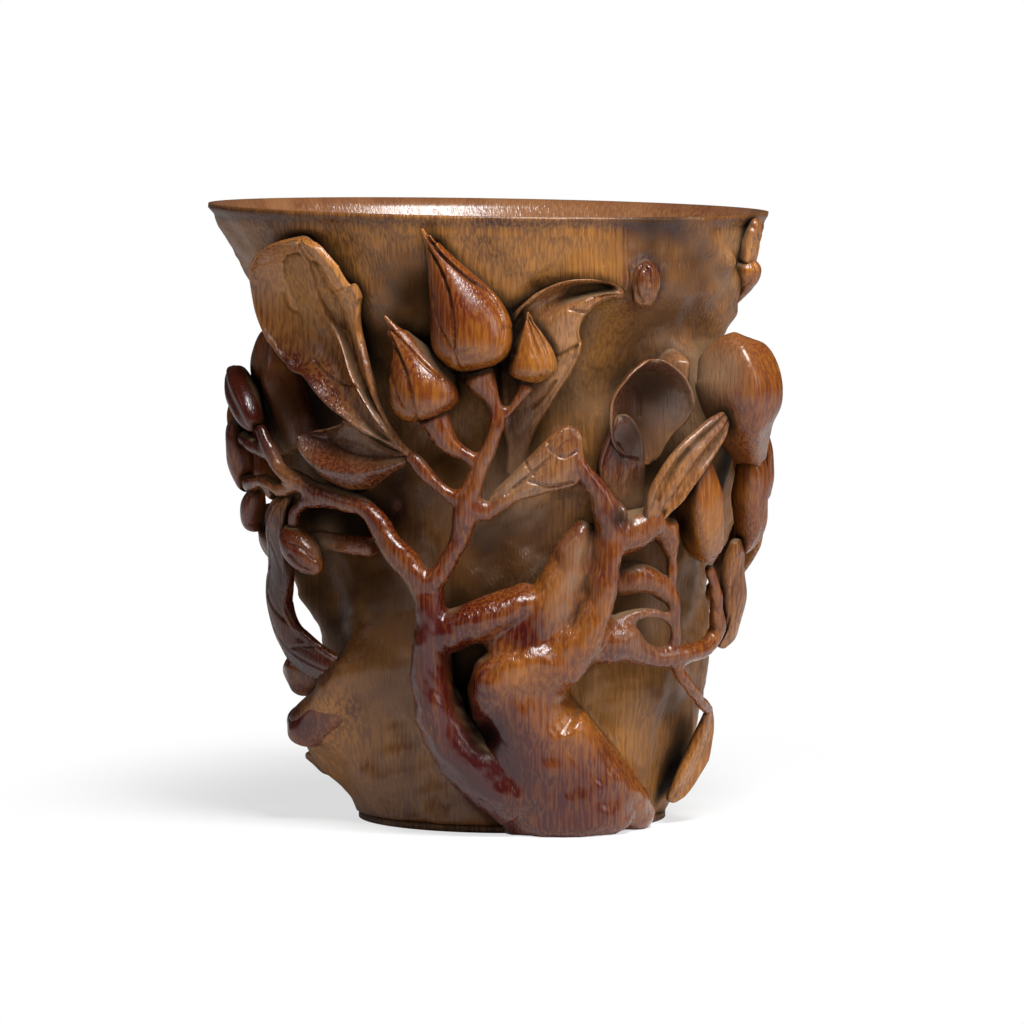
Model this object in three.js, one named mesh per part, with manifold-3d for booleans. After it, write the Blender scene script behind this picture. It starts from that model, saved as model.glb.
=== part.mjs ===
// A carved bamboo libation cup. One length of bamboo root is opened into a flared cup, and its outside is
// pierced and undercut into a gnarled trunk with twigs, cupped leaves, closed buds and two open blossoms.
// Units are millimetres, +Z is up, and the origin is the middle of the foot. The main view looks along +Y.
// The real cup is one piece of bamboo with a plate let into its foot. Each carved member is a solid of its
// own here, cut back from the members before it by a narrow seam.

import * as THREE from "three";
import Module from "manifold-3d";
import { mergeVertices } from "three/addons/utils/BufferGeometryUtils.js";

const wasm = await Module();
wasm.setup();

// Driving dimensions of the cup
const RIM_HEIGHT = 122;
const RIM_TILT = 0.9; // the rim is this much higher at its left tip, and lower at its right
const RIM_HALF_WIDTH = 56;
const RIM_HALF_DEPTH = 43.5;
const RIM_LEAN = -4.5; // the mouth is carved off centre, towards the left
const SHOULDER_HALF_WIDTH = 43;
const SHOULDER_HALF_DEPTH = 32;
const WAIST_HALF_WIDTH = 35;
const WAIST_HALF_DEPTH = 30;
const FOOT_HALF_WIDTH = 30.5;
const FOOT_HALF_DEPTH = 29;
const RIM_WALL = 1.6;
const WAIST_WALL = 4.5;
const FLUTE_DEPTH = 0.9; // swell of the shallow flutes down the ground

// Driving dimensions of the foot and the carving
const PLATE_EDGE = 1.2; // the base plate's edge, which shows under the wall
const PLUG_HEIGHT = 5; // how far the base plate is let into the bore
const SEAM = 0.3; // gap wherever one carved member meets another
const LEAF_THICKNESS = 1.8;
const FOLDED_THICKNESS = 2.6; // leaves and petals that are carved with a thick, rolled edge

// How finely each kind of form is cut into flat facets
const WALL_SEGMENTS = 60;
const TRUNK_SIDES = 12;
const BRANCH_SIDES = 9;
const TWIG_SIDES = 7;
const BUD_SIDES = 10;

// The carving's drawing. It is 122 mm high and stretches with the cup's height, and its half width turns a
// distance across the drawing into a turn round the cup. Rows are height, half width.
const DRAWING_HEIGHT = 122;
const DRAWING_HALF_WIDTH = [[0, 33], [10, 38], [25, 43], [45, 49], [65, 54], [80, 57], [90, 57], [108, 55], [122, 58]];
const STRETCH = RIM_HEIGHT / DRAWING_HEIGHT;

// The ground is the cup's own wall, left behind the carving. Rows are height on the drawing, half size.
const GROUND_HALF_WIDTH = [
  [0, FOOT_HALF_WIDTH],
  [12, FOOT_HALF_WIDTH + 1.2],
  [30, WAIST_HALF_WIDTH - 1],
  [45, WAIST_HALF_WIDTH],
  [52, WAIST_HALF_WIDTH + 1.6],
  [60, SHOULDER_HALF_WIDTH - 2],
  [70, SHOULDER_HALF_WIDTH],
  [97, SHOULDER_HALF_WIDTH],
  [110, RIM_HALF_WIDTH - 6],
  [122, RIM_HALF_WIDTH],
];
const GROUND_HALF_DEPTH = [
  [0, FOOT_HALF_DEPTH],
  [30, WAIST_HALF_DEPTH],
  [60, WAIST_HALF_DEPTH],
  [80, SHOULDER_HALF_DEPTH],
  [95, SHOULDER_HALF_DEPTH + 2.6],
  [110, RIM_HALF_DEPTH - 4],
  [122, RIM_HALF_DEPTH],
];
const GROUND_LEAN = [[0, 0], [30, 1.6], [75, 1.6], [95, RIM_LEAN * 0.5], [110, RIM_LEAN * 0.8], [122, RIM_LEAN]];

// Swells and gouges of the ground. Each runs from one [turn, height] to another, and has a height and a width.
const GROUND_SWELLS = [
  [-88, 9, -84, 50, 4.2, 9],
  [-92, 17, -74, 19, 5, 7],
  [-72, 21, -50, 34, 3.2, 7],
  [-62, 2, -58, 52, 3.6, 9],
  [-98, 56, -94, 84, 5, 9],
  [-70, 84, -68, 96, 4, 8],
  [-44, 101, -12, 102, 2.2, 11],
  [-12, 57, 16, 58, -2.6, 8],
  [-60, 61, -36, 63, -3, 5.5],
  [-24, 77, -12, 80, -2, 5],
  [16, 84, 46, 91, -1.8, 5.5],
  [24, 109, 62, 105, 3.2, 6],
  [66, 100, 76, 101, 2, 4],
  [60, 78, 66, 92, 5, 8],
  [92, 56, 90, 84, 4, 9],
  [34, 6, 48, 30, 2.2, 9],
  [78, 8, 84, 40, 4, 9],
  [112, 4, 116, 34, 2.4, 8],
  [150, 0, 176, 40, 3, 9],
  [-150, 2, -138, 44, 4, 10],
  [-126, 60, -132, 100, 2.6, 10],
  [128, 78, 160, 104, 2.4, 12],
];
const TURN_LENGTH = WAIST_HALF_WIDTH / 46.7; // one degree of turn, as a length along the ground

// The relief is how far the bamboo's skin, where the highest carving lies, stands off the ground.
const RELIEF_ACROSS = [[0, 2.5], [10, 6.5], [25, 10], [45, 14], [65, 12], [80, 14], [90, 14], [108, 6.5], [122, 2.5]];
const RELIEF_DEEP = [[0, 4], [10, 7.5], [25, 11], [45, 13.5], [65, 14], [80, 13], [95, 10], [108, 6.5], [122, 3.5]];
const SKIN_LEAN = [[0, 0], [100, 0], [122, RIM_LEAN * 0.8]];

// A straight-line reading of [height, value] rows
function lookUp(rows, height) {
  if (height <= rows[0][0]) return rows[0][1];
  for (let i = 1; i < rows.length; i++) {
    const [z0, v0] = rows[i - 1];
    const [z1, v1] = rows[i];
    if (height <= z1) return v0 + ((v1 - v0) * (height - z0)) / (z1 - z0);
  }
  return rows[rows.length - 1][1];
}

// A point on the bamboo's skin at a turn from the front, sunk towards the cup: 90 is the cup's right side,
// 180 its back and -90 its left side. z is a height on the drawing.
function around(turn, z, sink) {
  const a = THREE.MathUtils.degToRad(turn);
  const halfWidth = lookUp(GROUND_HALF_WIDTH, z) + lookUp(RELIEF_ACROSS, z);
  const halfDepth = lookUp(GROUND_HALF_DEPTH, z) + lookUp(RELIEF_DEEP, z);
  const point = new THREE.Vector3(halfWidth * Math.sin(a), -halfDepth * Math.cos(a), z * STRETCH);
  point.addScaledVector(outward(point), -sink);
  return point.setX(point.x + lookUp(SKIN_LEAN, z));
}

// The same for a point seen from the front, at x across the drawing and sunk straight back
function front(x, z, sink) {
  const share = THREE.MathUtils.clamp((x - lookUp(SKIN_LEAN, z)) / lookUp(DRAWING_HALF_WIDTH, z), -1, 1);
  const point = around(THREE.MathUtils.radToDeg(Math.asin(share)), z, 0);
  return point.setY(point.y + sink);
}

// The level direction that points away from the cup at a point
function outward(point) {
  return new THREE.Vector3(point.x / WAIST_HALF_WIDTH ** 2, point.y / WAIST_HALF_DEPTH ** 2, 0).normalize();
}

// How far the ground is swollen out at a turn and a height on the drawing
function swellAt(turn, z) {
  let total = 0;
  for (const [turnA, zA, turnB, zB, height, width] of GROUND_SWELLS) {
    for (const lap of [-360, 0, 360]) {
      const place = new THREE.Vector3((turn + lap) * TURN_LENGTH, z, 0);
      const line = new THREE.Line3(
        new THREE.Vector3(turnA * TURN_LENGTH, zA, 0),
        new THREE.Vector3(turnB * TURN_LENGTH, zB, 0),
      );
      const away = line.closestPointToPoint(place, true, new THREE.Vector3()).distanceTo(place);
      total += height * Math.exp(-((away / width) ** 2));
    }
  }
  return total * THREE.MathUtils.clamp(z / 9, 0, 1);
}

// A point on the ground at a turn and a height in millimetres, moved out by an offset
function ground(turn, height, offset) {
  const a = THREE.MathUtils.degToRad(turn);
  const z = height / STRETCH;
  const fade = Math.sin(Math.PI * THREE.MathUtils.clamp(z / DRAWING_HEIGHT, 0, 1));
  const flutes = FLUTE_DEPTH * fade * (Math.cos(5 * a + z / 30) + 0.6 * Math.cos(8 * a - z / 22));
  const swell = offset + flutes;
  return new THREE.Vector3(
    lookUp(GROUND_LEAN, z) + (lookUp(GROUND_HALF_WIDTH, z) + swell) * Math.sin(a),
    -(lookUp(GROUND_HALF_DEPTH, z) + swell) * Math.cos(a),
    height,
  );
}

// Solids

// A skin over rings that all have the same number of points. A closed loop joins the last ring to the
// first, as a hollow wall does. Otherwise each end gets a fan.
function loft(rings, loop = false) {
  const count = rings[0].length;
  const points = rings.flat();
  const faces = [];
  for (let r = 0; r < rings.length - (loop ? 0 : 1); r++) {
    const next = (r + 1) % rings.length;
    for (let i = 0; i < count; i++) {
      const j = (i + 1) % count;
      faces.push(r * count + i, r * count + j, next * count + j);
      faces.push(r * count + i, next * count + j, next * count + i);
    }
  }
  if (!loop) {
    const last = (rings.length - 1) * count;
    const first = points.push(middle(rings[0])) - 1;
    const end = points.push(middle(rings[rings.length - 1])) - 1;
    for (let i = 0; i < count; i++) {
      const j = (i + 1) % count;
      faces.push(first, j, i, end, last + i, last + j);
    }
  }
  const geometry = new THREE.BufferGeometry().setFromPoints(points);
  geometry.setIndex(faces);
  return solidOf(geometry);
}

function middle(ring) {
  return ring.reduce((sum, p) => sum.add(p), new THREE.Vector3()).divideScalar(ring.length);
}

// A closed geometry as a solid that can be joined and cut, with its faces turned outward
function solidOf(geometry) {
  geometry.deleteAttribute("normal");
  geometry.deleteAttribute("uv");
  const merged = mergeVertices(geometry, 1e-4);
  const triVerts = new Uint32Array(merged.index.array);
  const vertProperties = new Float32Array(merged.attributes.position.array);
  const solid = new wasm.Manifold(new wasm.Mesh({ numProp: 3, vertProperties, triVerts }));
  if (solid.volume() >= 0) return solid;
  for (let i = 0; i < triVerts.length; i += 3) triVerts.subarray(i, i + 3).reverse();
  return new wasm.Manifold(new wasm.Mesh({ numProp: 3, vertProperties, triVerts }));
}

function geometryOf(solid) {
  const mesh = solid.getMesh();
  const geometry = new THREE.BufferGeometry();
  geometry.setAttribute("position", new THREE.BufferAttribute(mesh.vertProperties, mesh.numProp));
  geometry.setIndex(new THREE.BufferAttribute(mesh.triVerts, 1));
  geometry.computeVertexNormals();
  return geometry;
}

// Carved members are laid out by rows of [x or turn, height, sink, size, second size]. These turn rows into
// stations along a smooth path: the centre, the way it runs, the way out and the way across.
function stations(place, rows, perRow, grow) {
  const curve = new THREE.CatmullRomCurve3(rows.map(([u, z, sink]) => place(u, z, sink)));
  const first = new THREE.SplineCurve(rows.map((row, i) => new THREE.Vector2(i, row[3])));
  const second = new THREE.SplineCurve(rows.map((row, i) => new THREE.Vector2(i, row[4] ?? row[3])));
  const steps = (rows.length - 1) * perRow;
  return Array.from({ length: steps + 1 }, (_, s) => {
    const share = s / steps;
    const centre = curve.getPoint(share);
    const along = curve.getTangent(share);
    const level = outward(centre);
    const away = Math.abs(level.dot(along)) > 0.85 ? new THREE.Vector3(0, 0, 1) : level;
    const out = away.addScaledVector(along, -away.dot(along)).normalize();
    const side = new THREE.Vector3().crossVectors(along, out).normalize();
    if (s === 0) centre.addScaledVector(along, -grow);
    if (s === steps) centre.addScaledVector(along, grow);
    const a = Math.max(first.getPoint(share).y, 0.3) + grow;
    const b = Math.max(second.getPoint(share).y, 0.3) + grow;
    return { share, centre, out, side, a, b };
  });
}

// A trunk, branch or twig. Row sizes are its half width and its half depth.
function limb(place, rows, sides, perRow, grow) {
  const rings = stations(place, rows, perRow, grow).map(({ centre, out, side, a, b }) =>
    Array.from({ length: sides }, (_, i) => {
      const turn = (2 * Math.PI * i) / sides;
      return centre
        .clone()
        .addScaledVector(side, a * Math.cos(turn))
        .addScaledVector(out, b * Math.sin(turn));
    }),
  );
  return loft(rings);
}

// A leaf or petal along its midrib. Row sizes are the half widths to its two sides. Its edges stand out from
// the midrib by cup, and thickness is that of the midrib.
function blade(place, rows, { cup = 0, thickness = LEAF_THICKNESS, across = 4 }, grow) {
  const widest = Math.max(...rows.flatMap((row) => row.slice(3)));
  const shares = Array.from({ length: across + 1 }, (_, i) => -1 + (2 * i) / across);
  const rings = stations(place, rows, 2, grow).map(({ centre, out, side, a, b }) => {
    const skin = (u, face) => {
      const width = u < 0 ? a : b;
      const rise = cup * u * u * Math.min(1, width / widest);
      const half = (thickness / 2) * (1 - 0.4 * u * u) + grow;
      return centre.clone().addScaledVector(side, u * width).addScaledVector(out, rise + face * half);
    };
    return [...shares.map((u) => skin(u, 1)), ...[...shares].reverse().map((u) => skin(u, -1))];
  });
  return loft(rings);
}

// A closed bud swells from its seat and closes to a point. Its rows bend its axis.
function teardrop(place, rows, radius, grow) {
  const shape = [0.42, 0.86, 1, 0.86, 0.5, 0.06];
  const curve = new THREE.CatmullRomCurve3(rows.map(([u, z, sink]) => new THREE.Vector3(u, z, sink)));
  const path = shape.map((share, i) => {
    const { x, y, z } = curve.getPoint(i / (shape.length - 1));
    return [x, y, z, share * radius];
  });
  return limb(place, path, BUD_SIDES, 2, grow);
}

// The carving is flush with the table at the foot
function aboveTable(solid) {
  const slab = new THREE.BoxGeometry(4 * RIM_HALF_WIDTH, 4 * RIM_HALF_DEPTH, RIM_HEIGHT);
  return solid.subtract(solidOf(slab.translate(0, 0, -RIM_HEIGHT / 2)));
}

// Assembly

const cup = new THREE.Group();
const placed = [];

const FINISH = {
  ground: { color: 0x7a5226, roughness: 0.55 },
  branch: { color: 0x6b2c16, roughness: 0.35 },
  leaf: { color: 0x7e4a1c, roughness: 0.38 },
  bud: { color: 0x8a4a18, roughness: 0.3 },
  plate: { color: 0x4a2c16, roughness: 0.6 },
};

// Adds a carved member. shape(grow) gives its solid with every face moved out by grow, so that members
// placed later are cut back from it by the seam. Slivers that a cut leaves loose are dropped.
function carve(name, finish, shape) {
  const reach = shape(SEAM);
  const box = reach.boundingBox();
  const whole = placed
    .filter((other) => [0, 1, 2].every((k) => box.min[k] < other.box.max[k] && box.max[k] > other.box.min[k]))
    .reduce((solid, other) => solid.subtract(other.reach), shape(0));
  const [solid] = whole.decompose().sort((a, b) => b.volume() - a.volume());
  placed.push({ reach, box });
  const material = new THREE.MeshStandardMaterial({ ...FINISH[finish], metalness: 0 });
  const mesh = new THREE.Mesh(geometryOf(solid), material);
  mesh.name = name;
  cup.add(mesh);
}

function branch(name, place, rows, sides = TWIG_SIDES) {
  carve(name, "branch", (grow) => aboveTable(limb(place, rows, sides, 2, grow)));
}

function leaf(name, place, rows, options = {}) {
  carve(name, "leaf", (grow) => blade(place, rows, options, grow));
}

function petal(name, place, rows) {
  carve(name, "bud", (grow) => limb(place, rows, TWIG_SIDES, 2, grow));
}

function bud(name, place, rows, radius) {
  carve(name, "bud", (grow) => teardrop(place, rows, radius, grow));
}

// The wall's rings stand on the base plate's edge and end at the tilted rim. A share is a ring's height.

const WALL_START = PLATE_EDGE + SEAM;
const OUTER_LEVELS = [0, 0.05, 0.1, 0.15, 0.2, 0.27, 0.34, 0.41, 0.48, 0.56, 0.64, 0.71, 0.78, 0.83, 0.87, 0.92, 1];
const BORE_LEVELS = [1, 0.9, 0.8, 0.7, 0.58, 0.48, 0.36, 0.2, 0];
const WALL_TAPER = [[0, WAIST_WALL], [0.62, WAIST_WALL], [0.85, (WAIST_WALL + RIM_WALL) / 2 - 0.6], [1, RIM_WALL]];

function wallRing(share, start, offset, swollen = 0) {
  return Array.from({ length: WALL_SEGMENTS }, (_, i) => {
    const turn = (360 * i) / WALL_SEGMENTS;
    const rim = RIM_HEIGHT - RIM_TILT * Math.sin(THREE.MathUtils.degToRad(turn));
    const height = start + share * (rim - start);
    return ground(turn, height, offset + swollen * swellAt(turn, height / STRETCH));
  });
}

// Base plate: an edge that shows under the wall, and a plug let into the bore

carve("base_plate", "plate", (grow) => {
  const plateRing = (height, offset) => wallRing(0, WALL_START, offset + grow).map((point) => point.setZ(height));
  const plug = -WAIST_WALL - SEAM;
  return loft([
    plateRing(0, 0),
    plateRing(PLATE_EDGE + grow, 0),
    plateRing(PLATE_EDGE + grow, plug),
    plateRing(PLATE_EDGE + PLUG_HEIGHT + grow, plug),
  ]);
});

// Cup wall: the ground outside and the bore inside, joined over the rim and under the foot

carve("cup_wall", "ground", (grow) => {
  const outside = OUTER_LEVELS.map((share) => wallRing(share, WALL_START - grow, grow, 1));
  if (grow > 0) return loft(outside);
  const bore = BORE_LEVELS.map((share) => wallRing(share, WALL_START, -lookUp(WALL_TAPER, share)));
  return loft([...outside, ...bore], true);
});

// Main trunk: it spreads over the foot, bends at the knee and climbs to a cut end. A knot hollow runs down it.

const TRUNK = [
  [15, -3, 7.2, 14.4, 11],
  [12.8, 5, 8, 14, 11.5],
  [8.4, 13, 9.4, 12.8, 11],
  [3.4, 22, 10, 10.6, 10],
  [1.8, 30, 9.4, 9.8, 9.4],
  [5.2, 37, 8.4, 10.6, 9],
  [9.8, 44, 7.4, 9.6, 8],
  [13, 51, 6.2, 8, 6.8],
  [15.6, 58, 5.2, 6, 5.6],
  [17.6, 65, 4, 3.8, 4.4],
  [16.4, 70, 3.6, 2.8, 3],
  [13.4, 73, 3.4, 2.2, 2.2],
];
const KNOT_HOLLOW = [
  [15.2, 62, -0.6, 0.6, 2],
  [13.6, 56.6, -1, 2.8, 3.6],
  [10.8, 50, -1.4, 4, 4.4],
  [8, 43.6, -1.6, 3.6, 4],
  [6, 38, -1.4, 1.4, 2.4],
];
carve("main_trunk", "branch", (grow) => {
  const trunk = aboveTable(limb(front, TRUNK, TRUNK_SIDES, 2, grow));
  return grow > 0 ? trunk : trunk.subtract(limb(front, KNOT_HOLLOW, TWIG_SIDES, 2, 0));
});
branch("cut_stub", front, [[19, 63, 3, 2.4], [21, 65, 1.6, 2.2], [22.4, 66.8, 0.4, 2]]);

// Left stem and its fork

branch("left_stem", front, [
  [2, 7, 5, 6, 7],
  [-7, 13, 5, 5.4, 7],
  [-12.6, 20, 5.4, 4.8, 7],
  [-14.9, 28, 5.6, 4.1, 7],
  [-15.8, 36, 5.6, 3.5, 6.6],
  [-15.6, 43, 4.6, 3, 5],
  [-16.6, 50, 2.6, 2.5, 2.6],
], BRANCH_SIDES);
branch("cross_branch", front, [
  [-15.6, 40, 6, 3.8, 5],
  [-10, 41.4, 6.4, 4.2, 5.6],
  [-4.6, 43.6, 7.6, 4.1, 6],
  [2, 46, 10, 3.8, 6],
], BRANCH_SIDES);
branch("left_arm", front, [
  [-16.8, 49.6, 2.6, 2.5],
  [-21.6, 55, 2.4, 2.6],
  [-25.6, 61.6, 2.8, 2.3],
  [-29.6, 64.8, 3, 2],
  [-36.4, 66, 3, 2],
  [-41.4, 69.4, 2.8, 1.8],
  [-45.6, 71.8, 2.4, 1.5],
  [-48, 76, 2, 1.4],
  [-49.8, 80, 2, 1.5],
]);
branch("hook_twig", front, [[-36, 66, 3, 1.6], [-40.6, 65.4, 2.6, 1.5], [-42.8, 62.6, 2.4, 1.3], [-42.6, 59.6, 2.4, 1.3]]);
branch("side_twig", front, [[-47.4, 74.8, 2.2, 1.4], [-50.4, 75.4, 1.8, 1.5], [-53, 77.2, 1.6, 1.7]]);
branch("low_twig", front, [[-40.6, 68.8, 3, 1.4], [-45, 67.6, 2.6, 1.6], [-49.4, 68.6, 2.2, 1.6], [-52, 67.4, 2, 1.7]]);

// Centre twigs, which carry three buds and the large leaf

branch("centre_twig", front, [
  [-17, 50.4, 2.6, 2.3],
  [-12.4, 54.6, 2.4, 2.2],
  [-10, 60, 2.4, 2.1],
  [-8.8, 66, 2.4, 2.4],
  [-6.6, 72, 2.5, 1.9],
  [-4.2, 78, 2.6, 1.7],
  [-2.8, 83, 2.8, 1.6],
  [-4.4, 87.6, 2.8, 2],
  [-6.4, 92, 2.8, 4],
]);
branch("small_bud_twig", front, [[-2.6, 83, 2.8, 1.3], [0.6, 86, 2.8, 1.3], [3.2, 89.6, 2.8, 2.4]]);
branch("middle_bud_twig", front, [[-5.8, 75, 2.6, 1.5], [-9.6, 77.6, 2.6, 1.6], [-12.4, 80.2, 2.6, 2.4], [-14.6, 83, 2.6, 4]]);
branch("leaf_twig", front, [[-9, 67, 2.4, 1.8], [-13, 68.8, 2.4, 1.7], [-17, 72.6, 2.4, 1.7], [-19.8, 75.6, 2.4, 1.5]]);

// Right arm, and the pierced lattice of twigs below it

branch("right_arm", front, [[17.4, 60, 5, 4, 4.4], [22.6, 60.6, 5, 4.4, 4.6], [27, 62, 4, 3.8, 4], [30.6, 64.6, 3, 2.6, 2.8]], BRANCH_SIDES);
branch("lattice_branch", front, [
  [15, 37.8, 5.8, 3.4],
  [18.6, 38.4, 5, 4],
  [22, 38, 4.4, 3.6],
  [26, 35.4, 3.8, 2.2],
  [30.6, 34.9, 3, 2],
  [35.4, 35.2, 2.8, 2],
  [39.6, 38, 2.6, 1.8],
  [41.8, 44, 2.6, 1.5],
  [41, 52, 3, 1.4],
]);
branch("lattice_upright", front, [
  [31, 34.8, 3, 1.5],
  [32, 42, 3, 1.2],
  [31.7, 50, 3.4, 1.2],
  [31, 56.6, 4, 1.9],
  [29.4, 62, 4, 3],
]);
branch("lattice_arch", front, [
  [31.6, 45.6, 4, 1.4],
  [28.4, 49.2, 5, 2.4],
  [25, 50.9, 5.8, 3.3],
  [21.6, 50.6, 7, 3.2],
  [18, 50, 9, 3],
]);
branch("lattice_loop", front, [
  [19, 40.6, 5, 3],
  [22, 42.6, 4.6, 1.8],
  [25.4, 43.7, 4.2, 1.3],
  [29, 43.3, 3.6, 1.2],
  [32, 40.4, 3, 1.1],
]);
branch("foot_twig", front, [[33.4, 34.6, 2.8, 1.5], [34, 30, 2.2, 1.4], [36.6, 26, 1.8, 1.3], [38.8, 22.6, 1.8, 1.2]]);

// Knots and cut ends on the ground

branch("rim_knot", front, [[25.6, 112.6, 3.6, 1.6, 2], [25.8, 108.6, 4, 2.6, 2.8], [25.4, 104.4, 5, 1.6, 2]]);
branch("foot_stub", around, [
  [-57, 30.4, 12, 5.2],
  [-65, 24.6, 5.6, 5],
  [-73, 19.6, -0.4, 4.5],
  [-75.4, 18.2, -1.6, 4],
], BRANCH_SIDES);
branch("foot_knot", around, [
  [-100, 24, 12, 5],
  [-98, 26.6, 5, 4.8],
  [-96, 29, 0.2, 3.8],
  [-96, 30, -1.8, 1.8],
], BRANCH_SIDES);
branch("foot_spur", around, [[-84, 11, 8, 4.4], [-92, 11.4, 1.4, 2.8], [-96, 11.6, -3.2, 0.8]]);

// Leaves seen from the front

leaf("large_leaf", front, [
  [-19.6, 75.4, 2.4, 0.8, 0.8],
  [-26.2, 83, 2.6, 4.6, 1.8],
  [-30.4, 90.4, 3.6, 8.4, 4.4],
  [-33.6, 96, 4.2, 11.6, 4.8],
  [-35.8, 101.4, 4.6, 14.2, 8.8],
  [-37.8, 107, 4, 15, 10],
  [-39.2, 112.6, 2.8, 12.6, 8.4],
  [-40.4, 117.2, 1.6, 5.4, 4.6],
], { cup: 3, across: 6, thickness: FOLDED_THICKNESS });
leaf("under_leaf", front, [
  [-19.8, 75, 3, 0.8, 0.8],
  [-25.4, 74.2, 6, 3.6, 7],
  [-31.6, 74.6, 7, 7, 9.4],
  [-37, 76.8, 6, 6.2, 8],
  [-41, 79.4, 4.6, 1, 1.6],
], { cup: 3, thickness: FOLDED_THICKNESS });
leaf("relief_leaf", front, [
  [0, 71, 11, 1.2, 1.2],
  [1.4, 81, 10, 4, 3.4],
  [3, 90, 8, 6, 7.4],
  [5.4, 97.6, 6.2, 6.6, 8.4],
  [9.4, 103.4, 4.8, 5.4, 5],
  [14.6, 106, 4, 3.8, 1.8],
  [21.6, 106.6, 3.4, 0.8, 0.6],
], { cup: 1.6, across: 6 });
leaf("fork_leaf", front, [
  [12.6, 80.6, 3, 1.2, 1.6],
  [11, 78.4, 2.7, 3.6, 3.2],
  [8.4, 75, 2.6, 6.8, 3.8],
  [4.4, 71.8, 2.9, 4.6, 3.2],
  [0.6, 69.2, 3.2, 3, 2.4],
  [-2.8, 66.8, 3.3, 1.8, 1.8],
  [-6.6, 64, 3, 1.2, 1.2],
], { cup: -0.6, thickness: FOLDED_THICKNESS });
leaf("hood_leaf", front, [
  [27.2, 73.2, 9.4, 1.6, 1.6],
  [27, 76.4, 8.4, 4.6, 4.6],
  [26.8, 79.6, 7.2, 8, 7.4],
  [26.9, 83.4, 5.6, 9, 9.1],
  [27.1, 87.2, 4.4, 9, 8.6],
  [27.6, 90.2, 3.2, 6.6, 6.6],
  [28.2, 92.6, 2.6, 3.6, 3.6],
  [28.4, 93.8, 2.6, 1, 1],
], { cup: 4, across: 6, thickness: FOLDED_THICKNESS });
leaf("hood_leaf_low", front, [
  [22.6, 64, 8, 2.6, 3],
  [21.2, 68.6, 7.6, 4.6, 4.2],
  [21, 73.6, 6.4, 5, 4.8],
  [21.4, 78.2, 5.2, 4.2, 4.2],
  [21.2, 81.4, 4.6, 2.8, 2.6],
  [20.6, 83.2, 4.6, 0.9, 0.9],
], { cup: 1.2, thickness: FOLDED_THICKNESS });
leaf("hood_tip", front, [
  [30.4, 86, 11.4, 3, 3],
  [31.2, 91, 10.8, 3.6, 3.4],
  [32, 94.6, 10, 2.2, 2.2],
  [32.4, 96.4, 9.6, 0.8, 0.8],
], { thickness: 9 });
leaf("furled_leaf", front, [
  [27.6, 61.8, 2.4, 1.2, 1.2],
  [29.6, 67.6, 1.4, 4.2, 3.8],
  [33.4, 73.4, 1, 4.6, 3.6],
  [37.6, 78, 1, 3.4, 3],
  [42, 82.4, 1, 1, 0.8],
], { cup: 1.8, thickness: 3.2 });
leaf("hanging_leaf_left", around, [
  [-57, 66.6, 2.8, 1, 1],
  [-63.4, 60.8, 1.6, 3.6, 3.4],
  [-70.4, 52, 0.8, 4.9, 4.7],
  [-74.4, 44, 0.2, 5.1, 4.8],
  [-71.4, 36, 0.6, 4.8, 4.3],
  [-59, 31, 4.8, 3, 2.8],
  [-52, 30.6, 9.6, 2, 2],
], { cup: -1.6, thickness: 3 });
leaf("hanging_leaf_right", front, [
  [44.6, 56, 4.6, 1.4, 1.4],
  [45.2, 51, 3.4, 3.2, 3],
  [45, 45, 3, 3.2, 3],
  [43.6, 39.6, 3, 2.6, 2.4],
  [41, 35.6, 3.2, 1.2, 1.2],
], { cup: -1.4, thickness: 3 });
leaf("foot_leaf", front, [
  [38.6, 23.4, 1.8, 1, 1],
  [37.2, 17.6, 2.4, 3, 2.6],
  [34.8, 11.6, 2.6, 3.4, 2.8],
  [31.6, 5.4, 2, 2, 1.4],
], { cup: 1.2, thickness: 3 });

// Buds

bud("large_bud", front, [[-7, 92, 3.4], [-9, 102.6, 2.4], [-17.2, 119.4, 0.6]], 8.2);
bud("middle_bud", front, [[-15.2, 83, 3.2], [-18.6, 91, 2.6], [-25, 102.4, 1.4]], 6.8);
bud("small_bud", front, [[3.6, 90, 3.4], [3.8, 95.4, 2.8], [3, 103.4, 1.8]], 4.6);
bud("hook_bud", front, [[-43.2, 59.4, 2.6], [-42.2, 55.4, 2], [-38.4, 51.4, 1.6]], 3.6);
bud("rim_bud", around, [[69, 114, 3.8], [69, 108, 5.2], [67, 102.4, 7]], 3.2);
leaf("rim_petal", around, [[68, 112, 4.6, 2, 2], [69, 116, 3.6, 3, 3], [69, 120.6, 3, 1, 1]], { cup: -0.8, thickness: 3.2 });

// The blossom at the left edge: its petals are carved as folded lobes

petal("left_petal_top", front, [
  [-50.4, 78.4, 2.4, 1.6, 1.6],
  [-51.8, 82, 2, 3, 2.8],
  [-53.8, 86.4, 2, 3.3, 3],
  [-55, 89.2, 2.4, 2.4, 2.2],
  [-55.2, 90.8, 2.8, 1, 1],
]);
petal("left_petal_middle", front, [
  [-54.4, 81.4, 3.4, 1.4, 1.2],
  [-54.2, 78, 2.8, 2.7, 2.6],
  [-53.6, 73, 2.2, 2.8, 2.7],
  [-53, 68.6, 2, 2.3, 2.2],
  [-52.6, 65.6, 2.4, 1.2, 1.2],
]);
petal("left_petal_low", front, [
  [-50, 67, 3.4, 1.4, 1.4],
  [-51, 63.6, 2.4, 2.6, 2.4],
  [-51, 60.4, 2.2, 2.4, 2.2],
  [-50.2, 58, 2.8, 1.2, 1.2],
]);
petal("left_petal_inner", around, [
  [-86, 62, 9, 3, 5],
  [-84, 57, 5.4, 4, 4.4],
  [-82, 53, 4.6, 3.4, 3],
  [-82, 50.6, 5, 1.6, 1],
]);
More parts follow.
